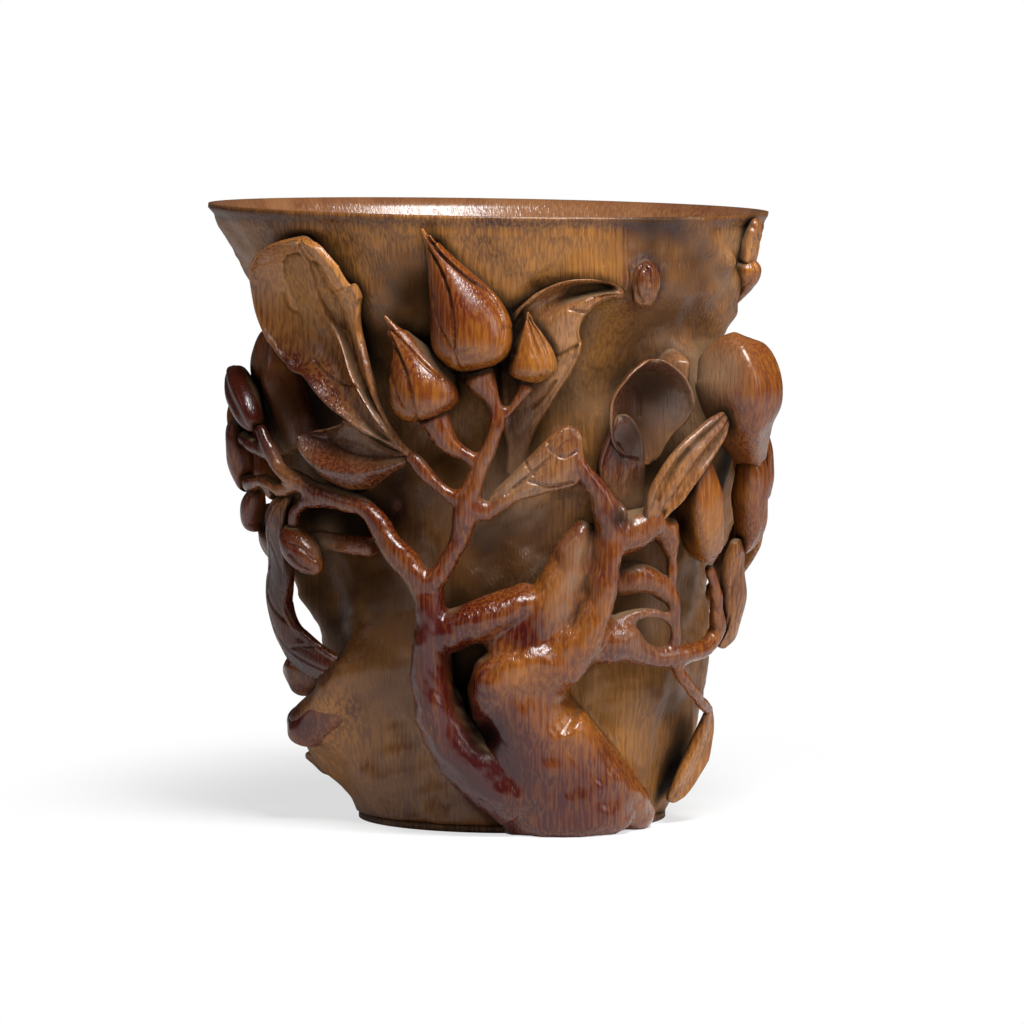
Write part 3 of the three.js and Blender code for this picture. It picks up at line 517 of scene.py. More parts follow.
# %% Stems and twigs at the left and in the middle
STEM_LIMBS = {
    "left_stem": [[2, 6, 5.4, 6, 7], [-6.4, 12.6, 5, 5.6, 7], [-12.4, 20, 4.8, 4.9, 6.6],
        [-14.9, 28, 4.8, 4.2, 6.4], [-15.8, 36, 4.8, 3.6, 6], [-15.7, 43, 4, 3, 4.6],
        [-16.6, 49.4, 2.6, 2.6, 2.8]],
    "cross_branch": [[-15, 40, 5, 3.8, 4.6], [-10.4, 41.2, 5, 4.2, 4.8], [-5, 43.4, 5.8, 4.1, 5],
        [0, 45.4, 7.2, 3.8, 5.4], [4.4, 47, 9.4, 3.4, 5.6]],
    "left_arm": [[-16.6, 47.4, 3, 2.4], [-19, 51.6, 2.4, 2.7], [-22.4, 56, 2.2, 2.7], [-25.4, 61, 2.6, 2.3],
        [-28.4, 64.6, 3, 1.9], [-33, 65.9, 3, 2], [-37.4, 66.8, 3, 2], [-41.4, 69.4, 2.8, 1.8],
        [-45.4, 71.6, 2.4, 1.5], [-47.6, 75.4, 2, 1.4], [-49.8, 80, 2, 1.4]],
    "hook_twig": [[-36, 66, 3, 1.6], [-39.6, 65.6, 2.6, 1.5], [-42.4, 63.2, 2.4, 1.2],
        [-42.6, 59.6, 2.4, 1.2]],
    "side_twig": [[-47, 74.2, 2.2, 1.3], [-50.4, 75.4, 1.8, 1.4], [-53.4, 77.2, 1.6, 1.6]],
    "low_twig": [[-40.6, 69, 3, 1.3], [-44.6, 67.4, 2.6, 1.4], [-49, 68.6, 2.2, 1.5], [-52.4, 67.4, 2, 1.6]],
    "centre_twig": [[-16.8, 48.6, 2.8, 2.3], [-14, 52.6, 2.4, 2], [-11.2, 57, 2.4, 1.9],
        [-9.4, 61.4, 2.4, 2.2], [-8.8, 66, 2.4, 2.5], [-7.2, 70.6, 2.5, 1.9], [-5, 75.6, 2.6, 1.6],
        [-3.4, 80, 2.8, 1.5], [-2.8, 83.6, 2.8, 1.5], [-4, 87, 2.8, 1.7], [-5.8, 90, 2.8, 2.9],
        [-6.6, 92, 2.8, 3.4]],
    "small_bud_twig": [[-2.6, 83, 2.8, 1.2], [-0.4, 84.4, 2.8, 1.1], [1.6, 87, 2.8, 1.2],
        [3.4, 89.8, 2.8, 2]],
    "middle_bud_twig": [[-6.2, 73.8, 2.6, 1.5], [-9, 75.8, 2.6, 1.3], [-11.4, 77.2, 2.6, 1.7],
        [-13.4, 79.6, 2.6, 2.6], [-15.4, 83.4, 2.6, 3.2]],
    "leaf_twig": [[-9, 66.6, 2.4, 1.9], [-12.4, 67.8, 2.4, 1.5], [-15.8, 71, 2.4, 1.4], [-18.4, 74, 2.4, 1.6],
        [-20.6, 76, 2.4, 1.3]],
    "ledge": [[-41, 57.6, 9.4, 1.7], [-37, 57.3, 9, 1.9], [-32, 56.9, 8.6, 2], [-26.5, 56.4, 7, 2]],
    "right_twig": [[-8.6, 66, 2.4, 2.4], [-5, 64.6, 2.8, 1.9], [-1.6, 66.4, 3, 1.5], [2, 69, 3.2, 1.2]],
}
print("stems and twigs:", len(STEM_LIMBS))

# %% The pierced lattice at the right, and the growth at the back
LATTICE_LIMBS = {
    "right_arm": [[16.8, 59, 5, 3.6, 4], [21.6, 59.6, 4.8, 4.2, 4.4], [26, 61.4, 4, 3.4, 4],
        [29.6, 64, 3, 2.6, 2.8]],
    "lattice_branch": [[13.6, 37.4, 6, 3.4], [18, 38.4, 5, 4.2], [21.4, 38.4, 4.4, 4], [24.4, 36.2, 4, 2.7],
        [27.4, 35, 3.4, 2], [30.6, 34.9, 3, 2], [34, 35, 2.8, 2], [37.6, 36, 2.6, 1.9],
        [40.2, 38.6, 2.6, 1.7], [40.4, 43, 2.6, 1.5], [40.2, 48, 2.8, 1.3], [39.2, 52.8, 3, 1.2]],
    "lattice_upright": [[31, 34.8, 3, 1.5], [32, 39, 3, 1.1], [31.9, 45, 3, 1.2], [31.7, 50, 3.4, 0.9],
        [31.6, 54, 3.8, 1.2], [30.6, 57.6, 4, 2.2], [29.4, 62, 4, 3]],
    "lattice_arch": [[32, 44.8, 4, 1.2], [30.2, 47.4, 4.4, 1.7], [27.9, 49.6, 5, 2.5], [25, 50.9, 5.8, 3.3],
        [21.6, 50.6, 7, 3.2], [18, 50, 9, 3]],
    "lattice_loop": [[19, 40.6, 5, 3], [22, 42.6, 4.6, 1.8], [25, 43.7, 4.2, 1.2], [28, 43.7, 3.8, 1.1],
        [30.6, 42.4, 3.4, 1], [32, 40.4, 3, 0.9]],
    "foot_twig": [[31.6, 34.4, 2.8, 1.4], [33, 30.6, 2.2, 1.3], [35.8, 26.6, 1.8, 1.2],
        [38.6, 22.6, 1.8, 1.2]],
}
BACK_LIMBS = {
    "back_stem": [[158, 0, 6, 7], [160, 10, 6, 6, 7], [172, 24, 6, 5, 7], [180, 38, 5, 4, 6],
        [174, 52, 3.6, 3.2, 4], [162, 66, 3, 2.2]],
    "back_twig": [[178, 44, 3.4, 2.4], [192, 53, 2.6, 1.9], [204, 64, 2.6, 1.8], [208, 72, 2.8, 3]],
    "back_side_twig": [[161, 14, 4.4, 3], [142, 25, 3, 2.2], [126, 36, 2.4, 1.8], [118, 45, 2.4, 1.5]],
}
print("limbs at the right and the back:", len(LATTICE_LIMBS) + len(BACK_LIMBS))


# %% One skin over joined limbs
LIMB_SPACING = 0.6
SKIN_CELL = 0.46
SKIN_SMOOTHING = 5
LOWER_EDGE, LOWER_INSET = 2.4, 0.02  # how high the rounding at the foot goes, and how far in


def one_skin(name, limbs, place):
    joined = bmesh.new()
    for limb, rows in limbs.items():
        part = pulled(f"{name}_{limb}", place, rows, round_section, LIMB_SPACING)
        joined.from_mesh(part.data)
        bpy.data.objects.remove(part)
    whole = finished(name + "_parts", joined)
    remesh = whole.modifiers.new("one skin", "REMESH")
    remesh.mode = "VOXEL"
    remesh.voxel_size = SKIN_CELL / 1000
    bpy.context.view_layer.update()
    depsgraph = bpy.context.evaluated_depsgraph_get()
    mesh = bpy.data.meshes.new_from_object(whole.evaluated_get(depsgraph))
    bpy.data.objects.remove(whole)
    mesh.name = name
    for polygon in mesh.polygons:
        polygon.use_smooth = True
    piece = show(name, mesh)
    put_points(piece, spread(piece, points(piece), SKIN_SMOOTHING))
    return piece


trunk = one_skin("trunk_and_twigs", {**TRUNK_LIMBS, **STEM_LIMBS, **LATTICE_LIMBS}, front)
back_growth = one_skin("back_stem_and_twigs", BACK_LIMBS, around)
for piece in (trunk, back_growth):
    co = points(piece)
    co[:, 2] = np.maximum(co[:, 2], 0.05)
    co += normals(piece) * (0.22 * knife_marks(co, 7, 1) + 0.07 * knife_marks(co, 2.4, 2))[:, None]
    co[:, :2] *= 1 - LOWER_INSET * np.clip(1 - co[:, 2:] / LOWER_EDGE, 0, 1) ** 2
    co[:, 2] = np.maximum(co[:, 2], 0.0)
    put_points(piece, co)
    print(piece.name, len(piece.data.polygons), "faces")

# %% Pockets cut into the trunk
# Each has its x and z, half width, half height and depth.
POCKETS = [
    [-5.4, 21, 1.5, 2.4, 1.8], [20.9, 63.4, 0.8, 2.2, 1.8], [22.6, 62.2, 0.7, 1.6, 1],
    [-8.8, 36.5, 1.6, 3, 1.6],
]
co = points(trunk)
facing = normals(trunk)[:, 1] < 0.2
for x, z, half_width, half_height, depth in POCKETS:
    hollow = np.exp(-(((co[:, 0] - x) / half_width) ** 2) - ((co[:, 2] - z) / half_height) ** 2)
    co[:, 1] += facing * depth * hollow
put_points(trunk, co)
print("pockets:", len(POCKETS))

# %% [markdown]
# ## Leaves
#
# A magnolia-like leaf was carved as a thick curling sheet, far thicker than a real leaf so that it would
# not snap, with a rounded edge. Its rows follow the midrib and give the half width to each side. Its
# profiles say how the sheet rises and falls from one edge to the other, which is what makes one leaf a
# bowl, another a fold and another a furled strip.

# %% Leaves at the left and in the middle
FLAT = [0, 0, 0, 0, 0, 0, 0, 0, 0]


def bent(middle):
    """Profiles of a leaf that is bent in its middle and flat at both ends."""
    return [(0, FLAT), (0.5, middle), (1, FLAT)]


FRONT_LEAVES = {
    "large_leaf": dict(
        thick=2.3,
        ridge=0.85,
        rows=[[-19.2, 75, 2.4, 0.7], [-22.4, 78.4, 2, 1.6, 0.9], [-26.4, 83.4, 2.2, 4.6, 1.8],
            [-30.4, 90.2, 3.4, 8.2, 4.2], [-33.4, 96, 4.2, 11.4, 5], [-35, 99.4, 4.5, 13.2, 7.2],
            [-36.2, 102.4, 4.6, 14.4, 9.6], [-37.8, 107, 4, 15, 10], [-39.2, 112.6, 2.8, 13, 8.6],
            [-40.2, 116.4, 1.8, 7.4, 5.6], [-40.6, 117.8, 1.4, 2]],
        profiles=[(0, FLAT), (0.35, [2, 0.2, -1, -1.2, 0, -0.8, -0.4, 0.3, 0.4]),
            (0.7, [3, 0.2, -1.8, -2.2, -0.6, -1.4, 0, 1, 0.4]),
            (0.88, [3.4, 0.8, -1.2, -2, -1.4, -1.2, 0.4, 1.3, 0.8]),
            (0.97, [2.6, 1.8, 0.8, 0.2, 0.2, 0.4, 1, 1.4, 1]),
            (1, [1.4, 1, 0.6, 0.4, 0.4, 0.4, 0.6, 1, 1.2])],
        veins=[[(-44.9, 106.6), (-43.6, 103.4), (-41, 101.8), (-38, 101.2)],
            [(-38.6, 93), (-36.4, 90.6), (-33.4, 89), (-30.4, 88.7)],
            [(-43.7, 113.5), (-42, 111.4), (-40, 110.2)]],
    ),
    "under_leaf": dict(
        thick=2.2,
        rows=[[-19.4, 75.2, 3, 0.8], [-22.6, 73.6, 2.6, 1.2, 3.4], [-26, 72.4, 2.2, 2, 6.4],
            [-29, 72, 2, 4, 8], [-32.4, 72.2, 2, 4.8, 9.4], [-35.8, 73, 2.4, 4.4, 9.4],
            [-38.4, 74.8, 2.8, 3.6, 7], [-40.2, 77, 3.4, 2.6, 4], [-41, 79, 4.2, 0.8, 1]],
        profiles=[(0, FLAT), (0.25, [-2.6, -1, 0.2, 1, 1.2, -1.2, -2.2, -2, -1.2]),
            (0.75, [-3.6, -1.6, 0, 1.2, 1.6, -1.4, -3.4, -3, -1.8]),
            (1, [-0.6, 0, 0.4, 0.6, 0.6, 0, -0.4, -0.4, 0])],
        veins=[[(-36.6, 79.4), (-34.4, 77), (-31.4, 75.6), (-28, 75)]],
    ),
    "relief_leaf": dict(
        thick=1.9,
        rows=[[0, 70.6, 11, 1.2], [1.2, 76, 10.6, 2.4, 1.8], [2, 81, 10, 4, 3], [3, 87, 8.8, 5.4],
            [3.8, 92, 7.6, 6.4, 7.6], [5.4, 97.6, 6.2, 7, 8.6], [8, 101.8, 5.2, 6.4, 7.4],
            [11, 104.4, 4.5, 5.4, 4.6], [14.8, 106, 4, 4, 2.2], [18.4, 106.8, 3.6, 2.4, 1.2],
            [21.8, 106.6, 3.4, 0.8, 0.6]],
        profiles=[(0, FLAT), (0.45, [0, 0.2, 0.4, 0.5, 0.5, 0.5, 0.5, 0.3, 0]),
            (0.62, [0.6, -0.2, -0.6, 0, 0.5, 0.8, 0.7, 0.4, 0.1]),
            (0.8, [2.2, -0.2, -1.8, -1.6, 0.7, 1, 0.8, 0.5, 0.3]),
            (0.93, [1.6, -0.4, -1.2, -0.8, 0.5, 0.7, 0.6, 0.3, 0.2]),
            (1, [0.4, 0.2, 0, 0, 0.2, 0.2, 0.2, 0.2, 0])],
        veins=[[(7.8, 94.4), (10.4, 95.4), (12.6, 96.8), (14.2, 98.4)],
            [(11.1, 103.9), (14.2, 103.3), (17.7, 104.6)], [(4, 84.6), (6, 86.4), (8.4, 89.6)]],
    ),
    "fork_leaf": dict(
        thick=2.6,
        rows=[[12.6, 80.6, 3, 1.2, 1.6], [11, 78.4, 2.7, 3.6, 3.2], [8.4, 75, 2.6, 6.8, 3.8],
            [4.4, 71.8, 2.9, 4.6, 3.2], [0.6, 69.2, 3.2, 3, 2.4], [-2.8, 66.8, 3.3, 1.8], [-6.6, 64, 3, 1.2]],
        profiles=[(0, FLAT), (0.4, [-0.8, 0.2, 0.6, 0.5, 0, 0.2, 0.5, 0.4, -0.4]),
            (0.7, [-0.4, 0.2, 0.4, 0.3, 0, 0.2, 0.4, 0.2, -0.2]), (1, FLAT)],
        veins=[[(0.4, 69.3), (4, 72.2), (7.6, 75.2), (10.7, 78.5)], [(3.3, 70.6), (7, 69.5), (11.9, 70.2)],
            [(8.1, 75.9), (10.2, 75.2), (12.6, 76.3)], [(2.6, 74.2), (3.4, 72.8), (4.2, 71.8)],
            [(6.9, 78.2), (7.2, 76.9), (8.1, 76)]],
    ),
}
print("leaves at the left and in the middle:", len(FRONT_LEAVES))

# %% Leaves at the right
FRONT_LEAVES |= {
    "hood_leaf": dict(
        thick=1.9,
        rows=[[27, 73.2, 9.4, 1.6], [26.4, 76.4, 8.4, 5.2, 4.8], [26.2, 79.6, 7.2, 8.8, 7.8],
            [26.4, 83.4, 5.6, 9.8, 9.4], [26.8, 87.2, 4.4, 9.6, 8.8], [27.4, 90.4, 3.2, 7.2, 6.8],
            [28, 92.8, 2.6, 3.8], [28.2, 94, 2.6, 1]],
        profiles=[(0, FLAT), (0.3, [1.6, -0.2, -2, -3, -3.2, -2.8, -1.8, -0.2, 1.4]),
            (0.6, [2.2, -0.2, -2.6, -4.4, -5, -4.6, -3, -0.6, 2]),
            (0.84, [1.8, -0.2, -2.6, -4.4, -5, -4.6, -3, -0.4, 1.8]),
            (0.94, [1, 0.2, -0.8, -1.4, -1.4, -1.4, -1, 0.2, 1]),
            (1, [0.4, 0.4, 0.4, 0.4, 0.4, 0.4, 0.4, 0.4, 0.4])],
        veins=[[(23.4, 88.9), (24.8, 86.5), (25, 82.4)]],
    ),
    "hood_leaf_low": dict(
        thick=2.2,
        rows=[[22, 62, 8.6, 3.4], [21, 68.6, 7.8, 5.6, 4.8], [20.8, 73.6, 6.6, 5.4, 4.8],
            [21.2, 78.2, 5.4, 4.2], [21.2, 81.4, 4.6, 2.8, 2.6], [20.6, 83.2, 4.6, 0.9]],
        profiles=[(0, FLAT), (0.5, [1.4, 0.8, 0.3, 0, -0.2, 0, 0.2, 0.6, 1.2]),
            (1, [0.6, 0.4, 0.2, 0, 0, 0, 0.2, 0.4, 0.6])],
        veins=[[(20.4, 77.4), (22, 74.8), (24.4, 74.2)]],
    ),
    "hood_tip": dict(
        thick=9,
        rows=[[30.4, 86, 12, 3], [31.2, 91, 11.8, 3.2, 3], [32, 94, 11.4, 1.8], [32.4, 95.4, 11, 0.7]],
        profiles=[(0, [0, 0.2, 0.4, 0.6, 0.7, 0.3, 0, -0.2, -0.4]),
            (1, [0, 0.2, 0.4, 0.6, 0.7, 0.3, 0, -0.2, -0.4])],
    ),
    "furled_leaf": dict(
        thick=2.8,
        rows=[[26.6, 60.4, 2.6, 1.4], [28, 64.4, 2, 2.8, 2.6], [29.8, 68, 1.4, 4.1, 3.6],
            [33.2, 73, 1, 4.4, 3.7], [37, 77.4, 1, 3.6, 3.2], [39.8, 80.2, 1, 2.7, 2.4],
            [41.8, 82.3, 1, 1.5, 1.3]],
        profiles=[(0, FLAT), (0.3, [1.2, 0.8, 0, 0.3, 0.7, 0.1, -0.3, 0.4, 1.2]),
            (0.7, [1.3, 0.6, -0.4, 0, 0.5, -0.2, -0.6, 0.1, 1.3]),
            (1, [0.8, 0.2, -0.2, 0, 0.2, 0, -0.2, 0.2, 0.8])],
        veins=[[(29.3, 63.4), (31.4, 68.6), (35, 73.6)], [(28.4, 66.6), (31.2, 72), (34.4, 76.4)]],
    ),
    "hanging_leaf_right": dict(
        thick=2.8,
        rows=[[44, 57.4, 4.6, 1.4], [44.4, 51, 3.4, 4, 3.6], [44.2, 45, 3, 4, 3.6], [42.8, 39.6, 3, 3, 2.8],
            [40.6, 35.6, 3.2, 1.4]],
        profiles=bent([-1.6, -0.4, 0.4, 0.6, 0.6, 0.4, 0, -0.6, -1.4]),
        veins=[[(44.4, 54), (43.8, 48), (43.2, 42), (41.6, 37.4)]],
    ),
    "foot_leaf": dict(
        thick=2.6,
        rows=[[38.8, 23.8, 1.8, 0.9], [38, 20, 2, 2.2, 1.9], [36.4, 15.4, 2.4, 3.1, 2.7],
            [34.4, 10.8, 2.6, 3.3, 2.8], [32.4, 7, 2.2, 2.6, 1.9], [31, 4.6, 1.8, 1.2, 0.9]],
        profiles=[(0, FLAT), (0.5, [1.8, 0.8, 0.2, 0, 0, 0.1, 0.3, 0.6, 1]),
            (1, [0.4, 0.2, 0, 0, 0, 0, 0, 0.2, 0.4])],
    ),
}
print("leaves seen from the front:", len(FRONT_LEAVES))

# %% Leaves that hang at the sides and grow at the back
SIDE_LEAVES = {
    "hanging_leaf_left": dict(
        thick=3.4,
        rows=[[-57, 66.6, 2.8, 1], [-63, 61, 1.6, 4.2, 3.6], [-70, 52, 0.8, 6, 5], [-74, 44, 0.2, 6, 5.2],
            [-71, 36, 0.6, 5.2, 4.6], [-60, 31.4, 4.4, 3.4, 3], [-51, 30.6, 9.6, 1.8, 2]],
        profiles=bent([0.4, -0.8, -0.2, 0.2, 0.4, 0.2, -0.2, -0.9, -1.6]),
    ),
    "rim_petal": dict(
        thick=2.8,
        rows=[[68, 111, 4.8, 2], [69, 114, 4, 2.8], [69, 117.6, 3.4, 2.6], [69, 120.6, 3, 1]],
        profiles=bent([-0.8, -0.4, -0.1, 0, 0, 0, -0.1, -0.4, -0.8]),
    ),
    "back_leaf_upper": dict(
        thick=2.3,
        rows=[[163, 65, 3, 1], [158, 75, 3, 7], [152, 86, 3.6, 10.6], [148, 97, 3.6, 10],
            [146, 108, 2.4, 1.6]],
        profiles=bent([2.6, 1.4, 0.4, -0.4, -0.3, -0.4, 0.4, 1.4, 2.4]),
    ),
    "back_leaf_side": dict(
        thick=2.3,
        rows=[[118, 44, 2.6, 1], [110, 52, 3.6, 6.4], [106, 62, 4.6, 7], [108, 72, 6, 1.4]],
        profiles=bent([2, 1, 0.3, -0.3, -0.2, -0.3, 0.3, 1, 2]),
    ),
    "back_leaf_low": dict(
        thick=2.3,
        rows=[[178, 38, 4, 1.6], [194, 36, 4, 6.6], [212, 38, 4, 6.4], [228, 44, 4, 1.4]],
        profiles=bent([2, 1, 0.3, -0.3, -0.2, -0.3, 0.3, 1, 2]),
    ),
}
print("leaves at the sides and the back:", len(SIDE_LEAVES))

# %% Pull the leaves and cut their veins
# Where each side vein leaves the midrib, and to which side.
SIDE_VEINS = ((0.2, -1), (0.32, 1), (0.44, -1), (0.56, 1), (0.66, -1))


def plain_veins(name):
    """A midrib and five side veins, on the leaf laid flat."""
    half, length = np.abs(made[name][:, 0]).max(), made[name][:, 1].max()
    lines = [[(0, share * length) for share in (0.06, 0.5, 0.9)]]
    for start, way in SIDE_VEINS:
        bends = ((0, 0), (0.4, 0.07), (0.75, 0.17))
        lines.append([(way * across * half, (start + up) * length) for across, up in bends])
    return lines


leaves = []
for place, table, spacing in ((front, FRONT_LEAVES, 0.26), (around, SIDE_LEAVES, 0.34)):
    for node, leaf in table.items():
        name = piece_name("leaf", node)
        section = blade_section(leaf["thick"], leaf["profiles"], leaf.get("ridge", 0))
        piece = pulled(name, place, leaf["rows"], section, spacing, blunt=(0.8, 0.8))
        cut_marks(piece, 0.08, 6, 3)
        if "veins" in leaf:
            incise(piece, leaf["veins"])
        if place is around:
            incise(piece, plain_veins(name), 0.3, 0.32, laid_flat=True)
        leaves.append((piece, node))
print("leaves:", len(leaves), "with", count_faces(p for p, _ in leaves), "faces")

# %% [markdown]
# ## Buds
#
# A closed bud is a drop with a fine point, wrapped in petals that overlap. The drop is pulled from a
# ball, and the overlaps are cut along lines drawn from the front. Each step leaves one petal standing a
# little above its neighbour, which a groove alone would not.

# %% Petal steps
STEP_WIDTH = 0.22


def raise_beside(piece, line, height, fade):
    """Lifts the points at the right of a line seen from the front. The lift fades with distance."""
    co = points(piece)
    way = normals(piece)
    flat = co[:, [0, 2]]
    smooth = smooth_line(line)
    order = np.argsort(smooth[:, 1])
    beside = flat[:, 0] - np.interp(flat[:, 1], smooth[order, 1], smooth[order, 0])
    inside_ends = (flat[:, 1] > smooth[:, 1].min()) & (flat[:, 1] < smooth[:, 1].max())
    rise = np.clip(beside / STEP_WIDTH, 0, 1)
    lift = height * bump_at(distance_to(flat, smooth), fade) * rise * inside_ends
    put_points(piece, co + way * (lift * (way[:, 1] < 0.1))[:, None])


# %% Buds
DROP_SHAPE = [0.5, 0.8, 0.96, 1, 0.97, 0.88, 0.72, 0.52, 0.3, 0.12, 0.03]
DROP_DEPTH = 0.92  # of its width


def drop_rows(axis, radius):
    line = through(axis, np.linspace(0, len(axis) - 1, len(DROP_SHAPE)))
    return [[*point, share * radius, share * radius * DROP_DEPTH] for point, share in zip(line, DROP_SHAPE)]


# A step is raised along one of the cuts, given by its number, with a height and how far it fades.
BUDS = {
    "large_bud": dict(
        rows=drop_rows([[-6.8, 91.6, 3.4], [-9.4, 103, 2.6], [-17.4, 119.8, 0.8]], 8.1),
        cuts=[[(-16.9, 117.4), (-16.2, 111), (-15.4, 106), (-14.4, 101.6), (-12, 97), (-10.2, 92.4)],
            [(-16.3, 116.4), (-13.6, 111.4), (-12, 106.4), (-11.4, 101.4), (-11.3, 96.8)],
            [(-16.4, 118.2), (-13.5, 114.5), (-8.8, 110.3),
                (-5, 107.7), (-2.5, 104.1), (-1.6, 100.5), (-2.4, 96)]],
        steps=[(1, 0.5, 4), (2, 0.4, 2)],
    ),
    "middle_bud": dict(
        rows=drop_rows([[-15.4, 82, 3.2], [-18.4, 91, 2.8], [-25.2, 102.6, 1.6]], 7),
        cuts=[[(-24.6, 100), (-24, 94), (-23, 89), (-21.4, 85.6), (-18.4, 82.6), (-16.4, 80.4)],
            [(-24.2, 99.6), (-21.9, 95), (-20.3, 91), (-19.5, 87), (-18.6, 83)],
            [(-24.4, 100.8), (-20.8, 97.2), (-17, 93.4), (-13.8, 90.6)]],
        steps=[(1, 0.5, 4)],
    ),
    "small_bud": dict(
        rows=drop_rows([[4, 89.4, 3.4], [3.8, 95.4, 3], [3.1, 103.6, 2]], 4.8),
        cuts=[[(3.2, 102.6), (5.4, 98.8), (6.9, 95), (7, 91.6)],
            [(3, 102), (4.4, 97.6), (5.6, 94), (5.6, 90.6)]],
        steps=[(0, 0.3, 1.4)],
    ),
    "hook_bud": dict(
        rows=[[-43.8, 60.6, 2.8, 1], [-43.3, 58.8, 2.4, 2.5], [-42.2, 56.3, 2, 3.6, 3.4],
            [-40.7, 54.2, 1.8, 3.4, 3.2], [-39.3, 52.4, 1.8, 2.2], [-38.3, 51, 2, 0.8]],
        cuts=[[(-43.6, 57), (-41.4, 56.2), (-38.8, 54)], [(-43.8, 55), (-42, 53), (-39.6, 51.8)]],
    ),
    "rim_bud": dict(
        rows=drop_rows([[69, 113, 4], [69, 108, 5.2], [67, 102.2, 7]], 3.2),
    ),
    "back_bud": dict(
        rows=drop_rows([[208, 72.2, 3], [210, 81, 2.4], [214, 95.4, 3]], 7),
    ),
}
STEP_POINTS = 6  # a step ends before the last point of a long cut


def wraps(name):
    """Two petals' edges on a bud laid flat, where the front can't see it."""
    half, length = np.abs(made[name][:, 0]).max(), made[name][:, 1].max()
    return [
        [(0.1 * half, 0.98 * length), (way * 0.55 * half, 0.6 * length), (way * 0.3 * half, 0.08 * length)]
        for way in (-1, 1)
    ]


buds = []
for node, bud in BUDS.items():
    name = piece_name("bud", node)
    place = front if "cuts" in bud else around
    piece = pulled(name, place, bud["rows"], round_section, 0.26, blunt=(2.6, 0.4))
    for cut, height, fade in bud.get("steps", []):
        raise_beside(piece, bud["cuts"][cut][:STEP_POINTS], height, fade)
    if "cuts" in bud:
        incise(piece, bud["cuts"], 0.3, 0.5)
    else:
        incise(piece, wraps(name), 0.3, 0.4, laid_flat=True)
    buds.append((piece, node))
print("buds:", len(buds), "with", count_faces(p for p, _ in buds), "faces")

# %% [markdown]
# ## Petals of the two open blossoms
#
# The blossoms at the two edges of the cup are seen from the side. Their petals are plump folded lobes,
# each with a rolled edge and a shallow fold down its middle.

# %% Petals
FOLDED = (0.16, 0.85)
FULL = (0.02, 0.62)
ROLLED_EDGE = 0.08


def petal_section(fold, boxed):
    """boxed squares the section, so that the petal has a face to each side and a ridge between them."""

    def section(turn, share, a, b):
        c, h = np.cos(turn), np.sin(turn)
        u, v = np.sign(c) * np.abs(c) ** boxed, np.sign(h) * np.abs(h) ** boxed
        crease = fold * bump_at(u - 0.15, 0.3) * (v > 0)
        roll = ROLLED_EDGE * bump_at(np.abs(u) - 0.8, 0.2) * (v > 0)
        return a * u, b * v * (1 - crease + roll)

    return section


PETALS = {
    "left_petal_top": (front, FOLDED, [[-50.4, 78.4, 2.4, 1.6], [-51.8, 82, 2, 3, 2.8],
        [-53.8, 86.4, 2, 3.3, 3], [-55, 89.2, 2.4, 2.4, 2.2], [-55.2, 90.8, 2.8, 1]]),
    "left_petal_middle": (front, FOLDED, [[-54.4, 81.4, 3.4, 1.4, 1.2], [-54.2, 78, 2.8, 2.7, 2.6],
        [-53.6, 73, 2.2, 2.8, 2.7], [-53, 68.6, 2, 2.3, 2.2], [-52.6, 65.6, 2.4, 1.2]]),
    "left_petal_low": (front, FOLDED, [[-50, 67, 3.4, 1.4], [-51, 63.6, 2.4, 2.6, 2.4],
        [-51, 60.4, 2.2, 2.4, 2.2], [-50.2, 58, 2.8, 1.2]]),
    "left_petal_inner": (around, FOLDED, [[-86, 62, 9, 3, 5], [-84, 57, 5.4, 4, 4.4], [-82, 53, 4.6, 3.4, 3],
        [-82, 50.6, 5, 1.6, 1]]),
    "left_petal_upright": (around, FOLDED, [[-68, 74, 12, 5], [-70, 83, 10, 7, 6], [-70, 92, 7, 6.6, 5],
        [-69, 99, 5.2, 3, 2.6]]),
    "left_petal_back": (around, FOLDED, [[-94, 66, 10, 4, 5], [-98, 72, 4.6, 5, 4.4], [-104, 79, 1.6, 5, 3.6],
        [-108, 84, 1.4, 2, 1.6]]),
    "right_petal_top": (front, FULL, [[42.8, 96.4, 8, 2, 2.2], [43.2, 94.2, 6, 4.8, 6],
        [43.8, 90.2, 4.4, 6.2, 8], [44.2, 86, 3.8, 6.4, 8.4], [44.8, 81.6, 3.8, 5.2, 7.2],
        [45.8, 77.4, 4.2, 3.8, 4.6], [46.8, 73, 4.8, 2.6, 2.8], [47.2, 69.6, 5.4, 1.2]]),
    "right_petal_outer": (front, FOLDED, [[46, 76, 5.6, 2], [46.8, 71, 4.2, 3.2, 3], [46.8, 65.5, 3.6, 3.4],
        [46.4, 59.5, 4, 3.1], [45.6, 54, 5.4, 1.4]]),
    "right_petal_tip": (front, FOLDED, [[48.4, 64, 5.6, 2.2, 2.4], [48.8, 69, 5.4, 2.4, 2.6],
        [49.4, 74.4, 5.6, 1.8], [49.9, 79.2, 6, 0.6]]),
    "right_petal_inner": (front, FULL, [[34.6, 74.4, 6.4, 3, 3.6], [35.6, 68.4, 5.6, 3.9, 4.2],
        [36.6, 62.4, 5, 4, 4.2], [37.6, 56.8, 5, 3.4], [38, 53.4, 5.4, 1.6, 2]]),
    "right_petal_back": (around, FOLDED, [[84, 68, 13, 5], [90, 76, 11, 6.4, 5], [94, 84, 9.6, 6.4, 5],
        [98, 91, 9.4, 2.4, 2]]),
}
petals = []
for node, (place, form, rows) in PETALS.items():
    piece = pulled(piece_name("petal", node), place, rows, petal_section(*form), 0.32, blunt=(2, 2.4))
    cut_marks(piece, 0.14, 9, 4)
    petals.append((piece, node))
print("petals:", len(petals), "with", count_faces(p for p, _ in petals), "faces")

